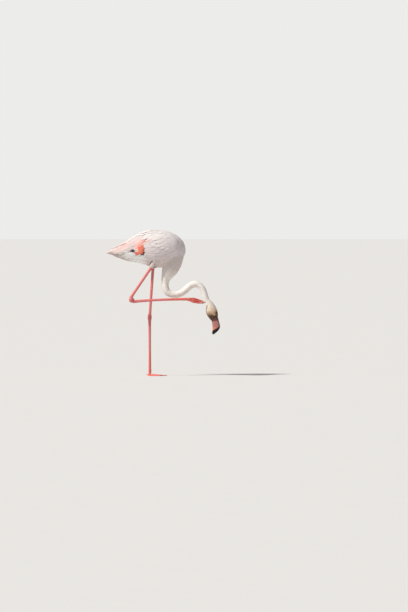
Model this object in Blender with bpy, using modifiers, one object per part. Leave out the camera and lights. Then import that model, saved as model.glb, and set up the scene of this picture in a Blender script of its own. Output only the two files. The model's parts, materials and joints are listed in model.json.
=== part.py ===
"""Greater flamingo, life size, standing on its left leg and scratching its throat with its right foot.

Metres. +X is the way the bird faces, +Y its left side and +Z up. The origin is on the floor, in the
middle of the flat under the standing leg. The body is one lofted form; the wings are shells on its
sides, the neck is a tube in five lengths, and the head and bill are lofts along the head's own axis.
"""

import math

import bmesh
import bpy
from mathutils import Matrix, Vector

GAP = 0.0003  # between pieces that touch
SIDES = {"left": 1, "right": -1}

# Trunk: a superellipsoid breast in front of the crest of the back, and outlines behind it.
BREAST_X = 0.2065
BREAST_Z = 0.714
CREST_X = 0.030
CREST_Z = 0.8355
BELLY_Z = 0.615
TRUNK_HALF_WIDTH = 0.077
RUMP_X = -0.126
TAIL_TIP_X = -0.238
FULLNESS = 2.2  # exponent of the body's sections: 2 is an ellipse
KEEL = 0.12  # how much narrower the belly is than the back
# x, underside, back and half width of the body behind the crest
REAR = (
    (-0.240, 0.6955, 0.7060, 0.007),
    (-0.215, 0.6890, 0.7235, 0.016),
    (-0.180, 0.6750, 0.7430, 0.027),
    (-0.135, 0.6570, 0.7655, 0.040),
    (-0.090, 0.6490, 0.7960, 0.054),
    (-0.045, 0.6400, 0.8225, 0.066),
    (-0.005, 0.6260, 0.8335, 0.073),
    (CREST_X, BELLY_Z, CREST_Z, TRUNK_HALF_WIDTH),
)

# Folded wing: a shell from the bend of the wing to the tips over the tail.
WING_FRONT_X = 0.176
WING_TIP_X = -0.251
WING_THICKNESS = 0.011
WING_CLEARANCE = 0.0016
# x, and the wing's upper and lower edge as angles round the body's section, 90 being its top
WING_EDGES = (
    (-0.251, 60, 10),
    (-0.215, 72, -24),
    (-0.160, 73, -35),
    (-0.100, 72, -37),
    (-0.040, 70, -38),
    (0.030, 67, -36),
    (0.100, 60, -28),
    (0.145, 50, -15),
    (0.176, 34, 2),
)

# Neck: x, y, z and radius along its middle, from inside the breast to the nape.
NECK = (
    (0.1320, 0.000, 0.6900, 0.0640),
    (0.1245, 0.000, 0.6450, 0.0590),
    (0.1165, 0.000, 0.6110, 0.0495),
    (0.1050, 0.000, 0.5850, 0.0395),
    (0.0935, 0.001, 0.5600, 0.0290),
    (0.0888, 0.002, 0.5310, 0.0222),
    (0.0905, 0.002, 0.5030, 0.0207),
    (0.1010, 0.001, 0.4790, 0.0200),
    (0.1240, -0.001, 0.4655, 0.0194),
    (0.1480, -0.003, 0.4635, 0.0190),
    (0.1695, -0.005, 0.4680, 0.0191),
    (0.1900, -0.007, 0.4790, 0.0196),
    (0.2090, -0.009, 0.4945, 0.0199),
    (0.2260, -0.011, 0.5095, 0.0199),
    (0.2420, -0.012, 0.5200, 0.0196),
    (0.2595, -0.014, 0.5240, 0.0192),
    (0.2770, -0.015, 0.5205, 0.0186),
    (0.2925, -0.017, 0.5080, 0.0178),
    (0.3045, -0.019, 0.4905, 0.0170),
    (0.3130, -0.020, 0.4710, 0.0163),
    (0.3195, -0.021, 0.4510, 0.0156),
    (0.3251, -0.022, 0.4347, 0.0150),
)
NECK_ROOT_NARROWING = 0.74  # the neck's width over its depth where it leaves the breast
NECK_ROUND_FROM = 6.0  # the index of NECK from which it is round
# where along the neck, as indexes of NECK, each length ends
NECK_LENGTHS = {"neck_root": 5.0, "neck_fold": 9.0, "neck_rise": 13.5, "neck_arch": 17.5, "neck_nape": 21.0}

# Head: its axis runs from the nape to the bill, and its own up is towards the crown.
NAPE = Vector((0.3283, -0.022, 0.4360))
HEAD_AXIS = Vector((0.3755, 0.0, -0.9268)).normalized()
HEAD_UP = Vector((0.9268, 0.0, 0.3755)).normalized()
# distance from the nape, throat, crown and half width
HEAD = (
    (0.000, -0.0185, 0.0115, 0.0150),
    (0.012, -0.0180, 0.0165, 0.0165),
    (0.024, -0.0190, 0.0212, 0.0185),
    (0.036, -0.0222, 0.0250, 0.0205),
    (0.048, -0.0278, 0.0276, 0.0222),
    (0.060, -0.0333, 0.0294, 0.0232),
    (0.072, -0.0356, 0.0300, 0.0232),
    (0.083, -0.0350, 0.0292, 0.0222),
    (0.094, -0.0325, 0.0268, 0.0203),
    (0.105, -0.0298, 0.0228, 0.0176),
    (0.116, -0.0280, 0.0180, 0.0155),
)
HEAD_LENGTH = 0.116
EYE_RADIUS = 0.0080
EYE_ALONG = 0.0930
EYE_UP = 0.0050
EYE_OUT = 0.0140

# Bill, in the head's frame: for each section the culmen, the gape and the chin as (along, up),
# then the half width of the upper and of the lower mandible.
BILL = (
    ((0.1163, 0.0178), (0.1163, 0.0040), (0.1163, -0.0235), 0.0132, 0.0140),
    ((0.1320, 0.0162), (0.1310, 0.0042), (0.1300, -0.0243), 0.0117, 0.0138),
    ((0.1480, 0.0145), (0.1460, 0.0030), (0.1440, -0.0277), 0.0109, 0.0139),
    ((0.1640, 0.0120), (0.1600, 0.0000), (0.1575, -0.0318), 0.0105, 0.0137),
    ((0.1765, 0.0060), (0.1712, -0.0058), (0.1680, -0.0358), 0.0101, 0.0130),
    ((0.1855, -0.0050), (0.1790, -0.0142), (0.1748, -0.0392), 0.0092, 0.0115),
    ((0.1915, -0.0178), (0.1860, -0.0240), (0.1805, -0.0428), 0.0078, 0.0094),
    ((0.1960, -0.0315), (0.1920, -0.0345), (0.1865, -0.0462), 0.0056, 0.0066),
    ((0.1985, -0.0422), (0.1965, -0.0435), (0.1930, -0.0470), 0.0028, 0.0032),
)

# Legs: the end of the thigh at the belly, the end of the shank, the ankle, the start of the tarsus
# and the base of the toes.
LEG = {
    "left": (
        Vector((0.0130, 0.0260, 0.6170)),
        Vector((-0.0005, 0.0110, 0.3335)),
        Vector((-0.0005, 0.0110, 0.3335)),
        Vector((-0.0005, 0.0110, 0.3335)),
        Vector((0.0010, 0.0, 0.0110)),
    ),
    "right": (
        Vector((0.0085, -0.0400, 0.6170)),
        Vector((-0.1085, -0.0620, 0.4460)),
        Vector((-0.1030, -0.0620, 0.4345)),
        Vector((-0.0960, -0.0620, 0.4250)),
        Vector((0.2250, -0.0570, 0.4390)),
    ),
}
THIGH_ROOT = {"left": Vector((0.032, 0.030, 0.668)), "right": Vector((0.040, -0.036, 0.668))}
THIGH_RADII = (0.0240, 0.0205, 0.0122)
SHANK_RADII = ((0.0, 0.0088), (0.35, 0.0078), (0.85, 0.0078), (1.0, 0.0090))
TARSUS_RADII = ((0.0, 0.0094), (0.14, 0.0080), (0.50, 0.0071), (0.86, 0.0075), (0.96, 0.0082), (1.0, 0.0060))
TARSUS_BOW = {"left": 0.0, "right": 0.0032}  # how far its middle is above the line of its ends
LEG_NARROWING = 0.82  # a leg's width over its depth
# the ankle's radius and its half length along the leg
ANKLE = {"left": (0.0118, 0.0290), "right": (0.0152, 0.0165)}

# Feet, in a frame whose origin is under the toe base, +X along the middle toe and +Z up.
TOE_LENGTH = {"middle": 0.091, "inner": 0.077, "outer": 0.083}
TOE_HALF_WIDTH = (0.0060, 0.0028)  # at the base and at the tip
TOE_HEIGHT = (0.0118, 0.0050)
TOE_FLAT_FROM = 0.017  # the sole is clear of the floor up to here, and flat on it after
TOE_ARCH = {"middle": 0.0005, "inner": 0.0007, "outer": 0.0009}
HIND_TOE_LENGTH = 0.017
# for each foot, how far back and how high the hind toe leaves the pad, and the degrees it points down
HIND_TOE = {"left": (0.004, 0.0105, 28), "right": (0.001, 0.0020, 76)}
CLAW_LENGTH = 0.010
CLAW_RADIUS = 0.0024
WEB_REACH = 0.90  # of the toe's length
WEB_DIP = 0.16  # how far the web's front edge curves in
WEB_THICKNESS = 0.0013
WEB_HEIGHT = 0.0026
PAD_RADIUS = 0.0100
PAD_HEIGHT = 0.0155
# for each foot: degrees from the middle toe to the next, how far the outer toes bow out, and
# how deep the webs sag between the toes
FOOT_SPREAD = {"left": (37, 0.0, 0.0), "right": (5, 0.0090, 0.0060)}
TOE_BOW_EARLY = 0.7  # below 1, the outer toes are furthest out before the middle of their length
RAISED_TIP = Vector((0.3290, -0.0485, 0.4200))
RAISED_ROLL = 58  # degrees the raised foot's upper side is turned out from the body

COLOURS = {
    "plumage": ((0.90, 0.80, 0.77), 0.85),
    "neck": ((0.93, 0.87, 0.81), 0.85),
    "leg": ((0.84, 0.30, 0.29), 0.50),
    "bill": ((0.72, 0.36, 0.34), 0.40),
    "claw": ((0.10, 0.07, 0.07), 0.40),
    "eye": ((0.78, 0.62, 0.18), 0.10),
}


def clear_scene():
    for obj in list(bpy.data.objects):
        bpy.data.objects.remove(obj)


def new_collection(name):
    made = bpy.data.collections.new(name)
    bpy.context.scene.collection.children.link(made)
    return made


def new_material(name, colour, roughness):
    material = bpy.data.materials.new(name)
    material.use_nodes = True
    shader = material.node_tree.nodes["Principled BSDF"]
    shader.inputs["Base Color"].default_value = (*colour, 1.0)
    shader.inputs["Roughness"].default_value = roughness
    shader.inputs["Metallic"].default_value = 0.0
    return material


def new_object(name, mesh, material):
    obj = bpy.data.objects.new(name, mesh)
    obj.data.materials.append(MATERIALS[material])
    MODEL.objects.link(obj)
    return obj


def spline(rows):
    """A smooth function through rows of numbers, by their first column."""

    def slope(i, k):
        a, b = rows[max(i - 1, 0)], rows[min(i + 1, len(rows) - 1)]
        return (b[k] - a[k]) / (b[0] - a[0])

    def value(x):
        i = max(j for j in range(len(rows) - 1) if j == 0 or x >= rows[j][0])
        low, high = rows[i], rows[i + 1]
        span = high[0] - low[0]
        t = min(max((x - low[0]) / span, 0.0), 1.0)
        start, start_slope = 2 * t**3 - 3 * t**2 + 1, t**3 - 2 * t**2 + t
        end, end_slope = 3 * t**2 - 2 * t**3, t**3 - t**2
        return [
            start * low[k] + start_slope * span * slope(i, k) + end * high[k] + end_slope * span * slope(i + 1, k)
            for k in range(1, len(low))
        ]

    return value


def numbered(rows):
    """The rows with their index in front, for a spline along a route."""
    return [(float(i), *row) for i, row in enumerate(rows)]


def power(value, exponent):
    return math.copysign(abs(value) ** exponent, value)


def loft(name, rings, material):
    """A closed solid through rings of points. A ring of one point closes its end with a fan."""
    bm = bmesh.new()
    made = [[bm.verts.new(p) for p in ring] for ring in rings]
    for a, b in zip(made, made[1:]):
        count = max(len(a), len(b))
        for i in range(count):
            j = (i + 1) % count
            if len(a) == 1:
                bm.faces.new((a[0], b[j], b[i]))
            elif len(b) == 1:
                bm.faces.new((a[i], a[j], b[0]))
            else:
                bm.faces.new((a[i], a[j], b[j], b[i]))
    for ring in (made[0], made[-1]):
        if len(ring) > 2:
            bm.faces.new(ring)
    bmesh.ops.recalc_face_normals(bm, faces=bm.faces)
    mesh = bpy.data.meshes.new(name)
    bm.to_mesh(mesh)
    bm.free()
    mesh.shade_smooth()
    mesh.set_sharp_from_angle(angle=math.radians(40))
    return new_object(name, mesh, material)


def swollen(obj, gap):
    """A hidden copy of the object, larger by the gap all round, to cut its neighbours with."""
    graph = bpy.context.evaluated_depsgraph_get()
    mesh = bpy.data.meshes.new_from_object(obj.evaluated_get(graph))
    mesh.transform(obj.matrix_world)
    bm = bmesh.new()
    bm.from_mesh(mesh)
    bm.normal_update()
    moved = [v.co + v.normal * gap * v.calc_shell_factor() for v in bm.verts]
    for vert, place in zip(bm.verts, moved):
        vert.co = place
    bm.to_mesh(mesh)
    bm.free()
    cutter = bpy.data.objects.new(obj.name + "_cutter", mesh)
    cutter.hide_render = True
    cutter.display_type = "WIRE"
    CUTTERS.objects.link(cutter)
    return cutter


def boolean(obj, other, operation):
    modifier = obj.modifiers.new(operation.lower(), "BOOLEAN")
    modifier.operation = operation
    modifier.solver = "EXACT"
    modifier.use_self = operation == "UNION"
    modifier.object = other


def cut_by(obj, neighbour, gap=GAP):
    boolean(obj, swollen(neighbour, gap), "DIFFERENCE")


def body_outline(x):
    """(underside, back, half width) of the body at x."""
    if x <= CREST_X:
        return REAR_OUTLINE(x)
    along = min((x - CREST_X) / (BREAST_X - CREST_X), 1.0)
    share = (1 - along**FULLNESS) ** (1 / FULLNESS)
    return (
        BREAST_Z - (BREAST_Z - BELLY_Z) * share,
        BREAST_Z + (CREST_Z - BREAST_Z) * share,
        TRUNK_HALF_WIDTH * share,
    )


def body_point(x, degrees, out=0.0):
    """A point on the body's section at x, 90 degrees being the back and 0 the left side."""
    low, high, half = body_outline(x)
    middle = (low + high) / 2
    across = power(math.cos(math.radians(degrees)), 2 / FULLNESS)
    up = power(math.sin(math.radians(degrees)), 2 / FULLNESS)
    narrowing = 1 - KEEL * max(-up, 0)
    return Vector((x, (half * narrowing + out) * across, middle + (high - middle + out) * up))


def body_ring(x, count, out=0.0):
    return [body_point(x, 360 * i / count, out) for i in range(count)]


def make_trunk():
    count = 28
    rear = [RUMP_X + (CREST_X - RUMP_X) * i / 7 for i in range(8)]
    front = [CREST_X + (BREAST_X - CREST_X) * math.sin(math.pi / 2 * i / 10) for i in range(1, 10)]
    rings = [body_ring(x, count) for x in rear + front]
    return loft("trunk", rings + [[Vector((BREAST_X, 0, BREAST_Z))]], "plumage")


def make_tail():
    count = 18
    start = RUMP_X - GAP
    steps = [start + (TAIL_TIP_X - start) * i / 6 for i in range(7)]
    return loft("tail", [body_ring(x, count, -GAP) for x in steps], "plumage")


def wing_ring(x, across):
    """The wing's section at x: along its outer face from the upper edge down, then back inside."""
    upper, lower = WING_OUTLINE(x)
    along = (WING_FRONT_X - x) / (WING_FRONT_X - WING_TIP_X)
    fullness = 0.40 + 0.60 * math.sin(math.pi * min(1.25 * along, 0.5 + 0.5 * along)) ** 0.6
    outer, inner = [], []
    for i in range(across + 1):
        share = i / across
        degrees = upper + (lower - upper) * share
        thickness = WING_THICKNESS * fullness * (0.34 + 0.66 * math.sin(math.pi * share) ** 0.7)
        outer.append(body_point(x, degrees, WING_CLEARANCE + thickness))
        inner.append(body_point(x, degrees, WING_CLEARANCE))
    return outer + inner[::-1]


def make_wing(side):
    steps = 17
    rings = []
    for i in range(steps + 1):
        x = WING_FRONT_X + (WING_TIP_X - WING_FRONT_X) * (i / steps) ** 1.15
        ring = wing_ring(x, 8)
        rings.append([Vector((p.x, p.y * SIDES[side], p.z)) for p in ring])
    return loft("wing_" + side, rings, "plumage")


def tube_rings(route, start, end, steps, count, end_axis=None):
    """Rings round a route of (x, y, z, radius), level from side to side."""
    rings = []
    for i in range(steps + 1):
        at = start + (end - start) * i / steps
        x, y, z, radius = route(at)
        ahead, behind = Vector(route(at + 0.02)[:3]), Vector(route(at - 0.02)[:3])
        axis = (ahead - behind).normalized()
        if end_axis and i == steps:
            axis = end_axis
        across = axis.cross(Vector((0, 1, 0))).normalized()
        narrowing = NECK_ROOT_NARROWING + (1 - NECK_ROOT_NARROWING) * min(at / NECK_ROUND_FROM, 1.0)
        side = across.cross(axis) * narrowing
        centre = Vector((x, y, z))
        if i == 0:
            centre += axis * GAP / 2
        if i == steps:
            centre -= axis * GAP / 2
        turn = [2 * math.pi * j / count for j in range(count)]
        rings.append([centre + radius * (side * math.cos(a) + across * math.sin(a)) for a in turn])
    return rings


def make_neck(trunk):
    route = spline(numbered(NECK))
    start = 0.0
    for name, end in NECK_LENGTHS.items():
        steps = round(1.8 * (end - start))
        last = end == len(NECK) - 1
        rings = tube_rings(route, start, end, steps, 14, HEAD_AXIS if last else None)
        piece = loft(name, rings, "neck")
        if start == 0.0:
            cut_by(piece, trunk)
        start = end


def in_head(along, up, side=0.0):
    return NAPE + HEAD_AXIS * along + HEAD_UP * up + Vector((0, side, 0))


def make_head():
    count, steps = 18, 12
    outline = spline(HEAD)
    rings = []
    for i in range(steps + 1):
        along = GAP / 2 + (HEAD_LENGTH - GAP / 2) * i / steps
        throat, crown, half = outline(along)
        middle, deep = (crown + throat) / 2, (crown - throat) / 2
        turn = [2 * math.pi * j / count for j in range(count)]
        rings.append([in_head(along, middle + deep * math.sin(a), half * math.cos(a)) for a in turn])
    head = loft("head", rings, "neck")
    for side, sign in SIDES.items():
        eye = new_eye("eye_" + side, sign)
        cut_by(head, eye)
    return head


def new_eye(name, sign):
    mesh = bpy.data.meshes.new(name)
    bm = bmesh.new()
    bmesh.ops.create_uvsphere(bm, u_segments=12, v_segments=8, radius=EYE_RADIUS)
    bm.to_mesh(mesh)
    bm.free()
    mesh.transform(Matrix.Translation(in_head(EYE_ALONG, EYE_UP, sign * EYE_OUT)))
    mesh.shade_smooth()
    return new_object(name, mesh, "eye")


def mandible(name, is_upper):
    """One half of the bill: a flat face along the gape and a rounded ridge or keel beyond it."""
    flat = [(*culmen, *gape, *chin, upper, lower) for culmen, gape, chin, upper, lower in BILL]
    rows = spline(numbered(flat))
    steps, count = 14, 10
    rings = []
    for i in range(steps + 1):
        cu, cv, gu, gv, ku, kv, upper, lower = rows(i * (len(BILL) - 1) / steps)
        depth = Vector((cu - ku, cv - kv)).normalized()
        far = Vector((cu, cv)) if is_upper else Vector((ku, kv))
        near = Vector((gu, gv)) + depth * (GAP if is_upper else -GAP)
        half, shape = (upper, 0.95) if is_upper else (lower, 0.62)
        ring = []
        for j in range(count + 1):
            a = math.pi * j / count
            place = near + (far - near) * math.sin(a) ** shape
            ring.append(in_head(place.x, place.y, half * math.cos(a)))
        rings.append(ring)
    return loft(name, rings, "bill")


def make_bill():
    mandible("bill_upper", True)
    mandible("bill_lower", False)


def limb(name, start, end, radii, count=10, steps=6, narrowing=LEG_NARROWING, bow=0.0):
    """A limb from start to end, its radius following radii by its share of the way."""
    radius = spline([(s, r) for s, r in radii])
    axis = (end - start).normalized()
    across = axis.cross(Vector((0, 1, 0))).normalized()
    side = across.cross(axis) * narrowing
    rings = []
    for i in range(steps + 1):
        share = i / steps
        centre = start.lerp(end, share) + across * bow * math.sin(math.pi * share)
        r = radius(share)[0]
        turn = [2 * math.pi * j / count for j in range(count)]
        rings.append([centre + r * (side * math.cos(a) + across * math.sin(a)) for a in turn])
    return loft(name, rings, "leg")


def make_ankle(side):
    """The swollen joint, longest along the line that halves the angle of the leg."""
    thigh, _, ankle, _, toe = LEG[side]
    long_axis = ((thigh - ankle).normalized() - (toe - ankle).normalized()).normalized()
    radius, half_length = ANKLE[side]
    bm = bmesh.new()
    bmesh.ops.create_uvsphere(bm, u_segments=12, v_segments=8, radius=1.0)
    mesh = bpy.data.meshes.new("ankle_" + side)
    bm.to_mesh(mesh)
    bm.free()
    turn = Vector((0, 0, 1)).rotation_difference(long_axis).to_matrix().to_4x4()
    narrow = Matrix.Diagonal((1, LEG_NARROWING, 1, 1))
    mesh.transform(Matrix.Translation(ankle) @ narrow @ turn @ Matrix.Diagonal((radius, radius, half_length, 1)))
    mesh.shade_smooth()
    return new_object("ankle_" + side, mesh, "leg")


def make_leg(side, trunk):
    thigh_end, shank_end, _, tarsus_start, toe = LEG[side]
    root = THIGH_ROOT[side]
    radii = tuple(zip((0.0, 0.45, 1.0), THIGH_RADII))
    thigh = limb("thigh_" + side, root, thigh_end, radii, 14, 5, 1.0)
    thigh.data.materials[0] = MATERIALS["plumage"]
    cut_by(thigh, trunk)
    down = (thigh_end - root).normalized()
    joint = make_ankle(side)
    shank = limb("shank_" + side, thigh_end + down * GAP, shank_end, SHANK_RADII)
    cut_by(shank, thigh)
    cut_by(shank, joint)
    tarsus = limb("tarsus_" + side, tarsus_start, toe, TARSUS_RADII, steps=10, bow=TARSUS_BOW[side])
    cut_by(tarsus, joint)
    return tarsus


def toe_place(length, angle, bow, share):
    """Where the middle of a toe is, by its share of the way along it."""
    turn = math.radians(angle)
    along, out = length * share, bow * math.sin(math.pi * max(share, 0) ** TOE_BOW_EARLY)
    x = along * math.cos(turn) - out * math.sin(turn)
    return Vector((x, along * math.sin(turn) + out * math.cos(turn), 0))


def toe_rings(length, arch, angle=0, bow=0.0, flat_from=TOE_FLAT_FROM, count=10, steps=7):
    """Rings of a toe: domed above, flat below, with a swelling at each joint."""
    rings = []
    for i in range(steps + 1):
        share = i / steps
        centre = toe_place(length, angle, bow, share)
        ahead = toe_place(length, angle, bow, share + 0.01) - toe_place(length, angle, bow, share - 0.01)
        side = Vector((-ahead.y, ahead.x, 0)).normalized()
        half = TOE_HALF_WIDTH[0] + (TOE_HALF_WIDTH[1] - TOE_HALF_WIDTH[0]) * share
        high = TOE_HEIGHT[0] + (TOE_HEIGHT[1] - TOE_HEIGHT[0]) * share
        swell = 1 + 0.10 * math.cos(2 * math.pi * 3 * share)
        floor = arch if length * share < flat_from else 0.0
        ring = []
        for j in range(count):
            a = 2 * math.pi * j / count
            z = high * (0.36 + 0.64 * swell * math.sin(a))
            ring.append(centre + side * half * swell * math.cos(a) + Vector((0, 0, max(z, floor))))
        rings.append(ring)
    return rings


def web_mesh(middle, other, sag):
    """The sheet between two toes, each given as length, angle and bow, with a curved front edge."""
    along, across = 4, 4
    bm = bmesh.new()
    rows = []
    for i in range(along + 1):
        row = []
        for j in range(across + 1):
            share = j / across
            reach = 0.05 + (WEB_REACH - 0.05) * i / along * (1 - WEB_DIP * math.sin(math.pi * share))
            place = toe_place(*middle, reach).lerp(toe_place(*other, reach), share)
            drop = sag * math.sin(math.pi * share) * math.sin(math.pi * min(1.0, i / along + 0.15)) ** 0.7
            row.append(bm.verts.new(place + Vector((0, 0, WEB_HEIGHT - drop))))
        rows.append(row)
    for a, b in zip(rows, rows[1:]):
        for j in range(across):
            bm.faces.new((a[j], a[j + 1], b[j + 1], b[j]))
    mesh = bpy.data.meshes.new("web")
    bm.to_mesh(mesh)
    bm.free()
    return mesh


def hidden(obj):
    """Moves an object that only serves a Boolean out of the model."""
    obj.hide_render = True
    obj.display_type = "WIRE"
    MODEL.objects.unlink(obj)
    CUTTERS.objects.link(obj)
    return obj


def solid_web(name, mesh, place):
    obj = new_object(name, mesh, "leg")
    thick = obj.modifiers.new("thick", "SOLIDIFY")
    thick.thickness = WEB_THICKNESS
    thick.offset = 0.0
    obj.matrix_world = place
    return hidden(obj)


def make_claw(name, place):
    """A short blunt hook that tapers forward and down from the toe's end."""
    count, steps = 8, 4
    rings = []
    for i in range(steps):
        share = i / steps
        r = CLAW_RADIUS * (1 - share**1.6)
        centre = Vector((GAP + CLAW_LENGTH * share, 0, 0.0034 - 0.0016 * share**2))
        turn = [2 * math.pi * j / count for j in range(count)]
        rings.append([centre + Vector((0, 0.8 * r * math.cos(a), r * math.sin(a))) for a in turn])
    rings.append([Vector((GAP + CLAW_LENGTH, 0, 0.0014))])
    claw = loft(name, rings, "claw")
    claw.matrix_world = place
    return claw


def make_foot(side, place, tarsus):
    """Pad, three webbed toes and the small hind toe as one piece, and a claw at each end."""
    spread, bow, sag = FOOT_SPREAD[side]
    inward = -SIDES[side]
    toes = {
        "middle": (TOE_LENGTH["middle"], 0, 0.0),
        "inner": (TOE_LENGTH["inner"], inward * spread, inward * bow),
        "outer": (TOE_LENGTH["outer"], -inward * spread, -inward * bow),
    }
    pad_rings = []
    for i in range(6):
        a = math.pi / 2 * i / 5.5
        turn = [2 * math.pi * j / 14 for j in range(14)]
        r = PAD_RADIUS * math.cos(a) ** 0.6
        z = PAD_HEIGHT * math.sin(a)
        pad_rings.append([Vector((r * math.cos(t), r * math.sin(t), z)) for t in turn])
    foot = loft("foot_" + side, pad_rings, "leg")
    foot.matrix_world = place
    bpy.context.view_layer.update()
    if side == "right":
        cut_by(tarsus, foot)
    for toe, (length, angle, bent) in toes.items():
        flat_from = TOE_FLAT_FROM if side == "left" else 2 * length
        piece = loft("toe", toe_rings(length, TOE_ARCH[toe], angle, bent, flat_from), "leg")
        piece.matrix_world = place
        boolean(foot, hidden(piece), "UNION")
        end, before = toe_place(length, angle, bent, 1.0), toe_place(length, angle, bent, 0.98)
        turn = Matrix.Rotation(math.atan2(end.y - before.y, end.x - before.x), 4, "Z")
        make_claw(f"claw_{side}_{toe}", place @ Matrix.Translation(end) @ turn)
    for toe in ("inner", "outer"):
        boolean(foot, solid_web("web", web_mesh(toes["middle"], toes[toe], sag), place), "UNION")
    hind = loft("toe", toe_rings(HIND_TOE_LENGTH, 0.0, steps=4), "leg")
    behind, height, pitch = HIND_TOE[side]
    back = Matrix.Translation((-behind, 0, height)) @ Matrix.Rotation(math.pi, 4, "Z")
    back = back @ Matrix.Rotation(math.radians(pitch), 4, "Y")
    hind.matrix_world = place @ back @ Matrix.Diagonal((1, 0.62, 0.50, 1))
    boolean(foot, hidden(hind), "UNION")
    if side == "left":
        cut_by(foot, tarsus)


def raised_foot_place():
    """The raised foot carries on from its tarsus, its upper side rolled outwards."""
    toe = LEG["right"][4]
    forward = (RAISED_TIP - toe).normalized()
    across = Vector((0, 0, 1)).cross(forward).normalized()
    up = forward.cross(across)
    turn = Matrix((forward, across, up)).transposed().to_4x4()
    roll = Matrix.Rotation(math.radians(RAISED_ROLL), 4, "X")
    return Matrix.Translation(toe) @ turn @ roll @ Matrix.Translation((0, 0, -PAD_HEIGHT / 2))


def build():
    trunk = make_trunk()
    make_tail()
    for side in SIDES:
        make_wing(side)
    make_neck(trunk)
    make_head()
    make_bill()
    tarsi = {side: make_leg(side, trunk) for side in SIDES}
    make_foot("left", Matrix.Identity(4), tarsi["left"])
    make_foot("right", raised_foot_place(), tarsi["right"])


clear_scene()
MODEL = new_collection("flamingo")
CUTTERS = new_collection("cutters")
MATERIALS = {name: new_material(name, *look) for name, look in COLOURS.items()}
REAR_OUTLINE = spline(REAR)
WING_OUTLINE = spline(WING_EDGES)
build()
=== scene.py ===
"""Looks of the greater flamingo: one skin, feathers as thin vanes over it, bill, eyes and claws."""
import json
import math
from itertools import product

import bmesh
import bpy
import numpy as np
from mathutils import Matrix, Vector
from mathutils.bvhtree import BVHTree

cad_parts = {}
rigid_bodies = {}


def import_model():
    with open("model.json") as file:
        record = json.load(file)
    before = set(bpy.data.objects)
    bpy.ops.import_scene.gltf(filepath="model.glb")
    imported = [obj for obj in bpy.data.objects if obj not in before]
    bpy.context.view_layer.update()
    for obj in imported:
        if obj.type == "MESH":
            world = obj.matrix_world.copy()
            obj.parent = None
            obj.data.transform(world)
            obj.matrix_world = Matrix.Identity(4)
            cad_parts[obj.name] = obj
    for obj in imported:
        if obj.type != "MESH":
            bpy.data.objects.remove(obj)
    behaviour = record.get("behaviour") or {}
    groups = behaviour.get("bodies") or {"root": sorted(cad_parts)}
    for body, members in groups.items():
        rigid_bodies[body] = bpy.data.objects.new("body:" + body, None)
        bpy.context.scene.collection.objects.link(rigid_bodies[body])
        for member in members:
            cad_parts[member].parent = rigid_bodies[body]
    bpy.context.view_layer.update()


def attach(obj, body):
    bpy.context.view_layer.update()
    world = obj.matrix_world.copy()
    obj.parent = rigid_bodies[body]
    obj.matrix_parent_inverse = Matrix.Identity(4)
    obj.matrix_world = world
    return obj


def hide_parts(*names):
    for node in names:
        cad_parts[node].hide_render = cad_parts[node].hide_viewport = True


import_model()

BODY = "root"
SIDES = {"left": 1, "right": -1}
BODY_SEED, WING_SEED = 7, 2
RANDOM = np.random.default_rng(BODY_SEED)


def lengths(*rows):
    """A table given in tenths of a millimetre, in metres."""
    return np.array(rows) / 10000


# ---------------------------------------------------------------- the bird's shape, as in the solids
BREAST_X, BREAST_Z = 0.2065, 0.714
CREST_X, CREST_Z, BELLY_Z = 0.030, 0.8355, 0.615
TRUNK_HALF_WIDTH = 0.077
FULLNESS = 2.2
KEEL = 0.12
# x, underside, back and half width of the body behind the crest
REAR = (
    (-0.240, 0.6955, 0.7060, 0.007), (-0.215, 0.6890, 0.7235, 0.016), (-0.180, 0.6750, 0.7430, 0.027),
    (-0.135, 0.6570, 0.7655, 0.040), (-0.090, 0.6490, 0.7960, 0.054), (-0.045, 0.6400, 0.8225, 0.066),
    (-0.005, 0.6260, 0.8335, 0.073), (CREST_X, BELLY_Z, CREST_Z, TRUNK_HALF_WIDTH),
)
WING_FRONT_X, WING_TIP_X = 0.176, -0.251
WING_THICKNESS, WING_CLEARANCE = 0.011, 0.0016
# x, and the wing's upper and lower edge as angles round the body's section, 90 being its top
WING_EDGES = (
    (-0.251, 60, 10), (-0.215, 72, -24), (-0.160, 73, -35), (-0.100, 72, -37), (-0.040, 70, -38),
    (0.030, 67, -36), (0.100, 60, -28), (0.145, 50, -15), (0.176, 34, 2),
)
# x, y, z and radius along the neck's middle, from inside the breast to the nape
NECK = lengths(
    (1320, 0, 6900, 640), (1245, 0, 6450, 590), (1165, 0, 6110, 495), (1050, 0, 5850, 395),
    (935, 10, 5600, 290), (888, 20, 5310, 222), (905, 20, 5030, 207), (1010, 10, 4790, 200),
    (1240, -10, 4655, 194), (1480, -30, 4635, 190), (1695, -50, 4680, 191), (1900, -70, 4790, 196),
    (2090, -90, 4945, 199), (2260, -110, 5095, 199), (2420, -120, 5200, 196), (2595, -140, 5240, 192),
    (2770, -150, 5205, 186), (2925, -170, 5080, 178), (3045, -190, 4905, 170), (3130, -200, 4710, 163),
    (3195, -210, 4510, 156), (3251, -220, 4347, 150),
)
NECK_ROOT_NARROWING, NECK_ROUND_FROM, NECK_END = 0.74, 6.0, 20.9
NAPE = Vector((0.3283, -0.022, 0.4360))
HEAD_AXIS = Vector((0.3755, 0.0, -0.9268)).normalized()
HEAD_UP = Vector((0.9268, 0.0, 0.3755)).normalized()
# distance from the nape, throat, crown and half width
HEAD = lengths(
    (0, -185, 115, 150), (120, -180, 165, 165), (240, -190, 212, 185), (360, -222, 250, 205),
    (480, -278, 276, 222), (600, -333, 294, 232), (720, -356, 300, 232), (830, -350, 292, 222),
    (940, -325, 268, 203), (1050, -298, 228, 176), (1160, -280, 180, 155),
)
HEAD_LENGTH = 0.116
EYE_RADIUS, EYE_ALONG, EYE_UP, EYE_OUT = 0.0080, 0.0930, 0.0050, 0.0140
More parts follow.
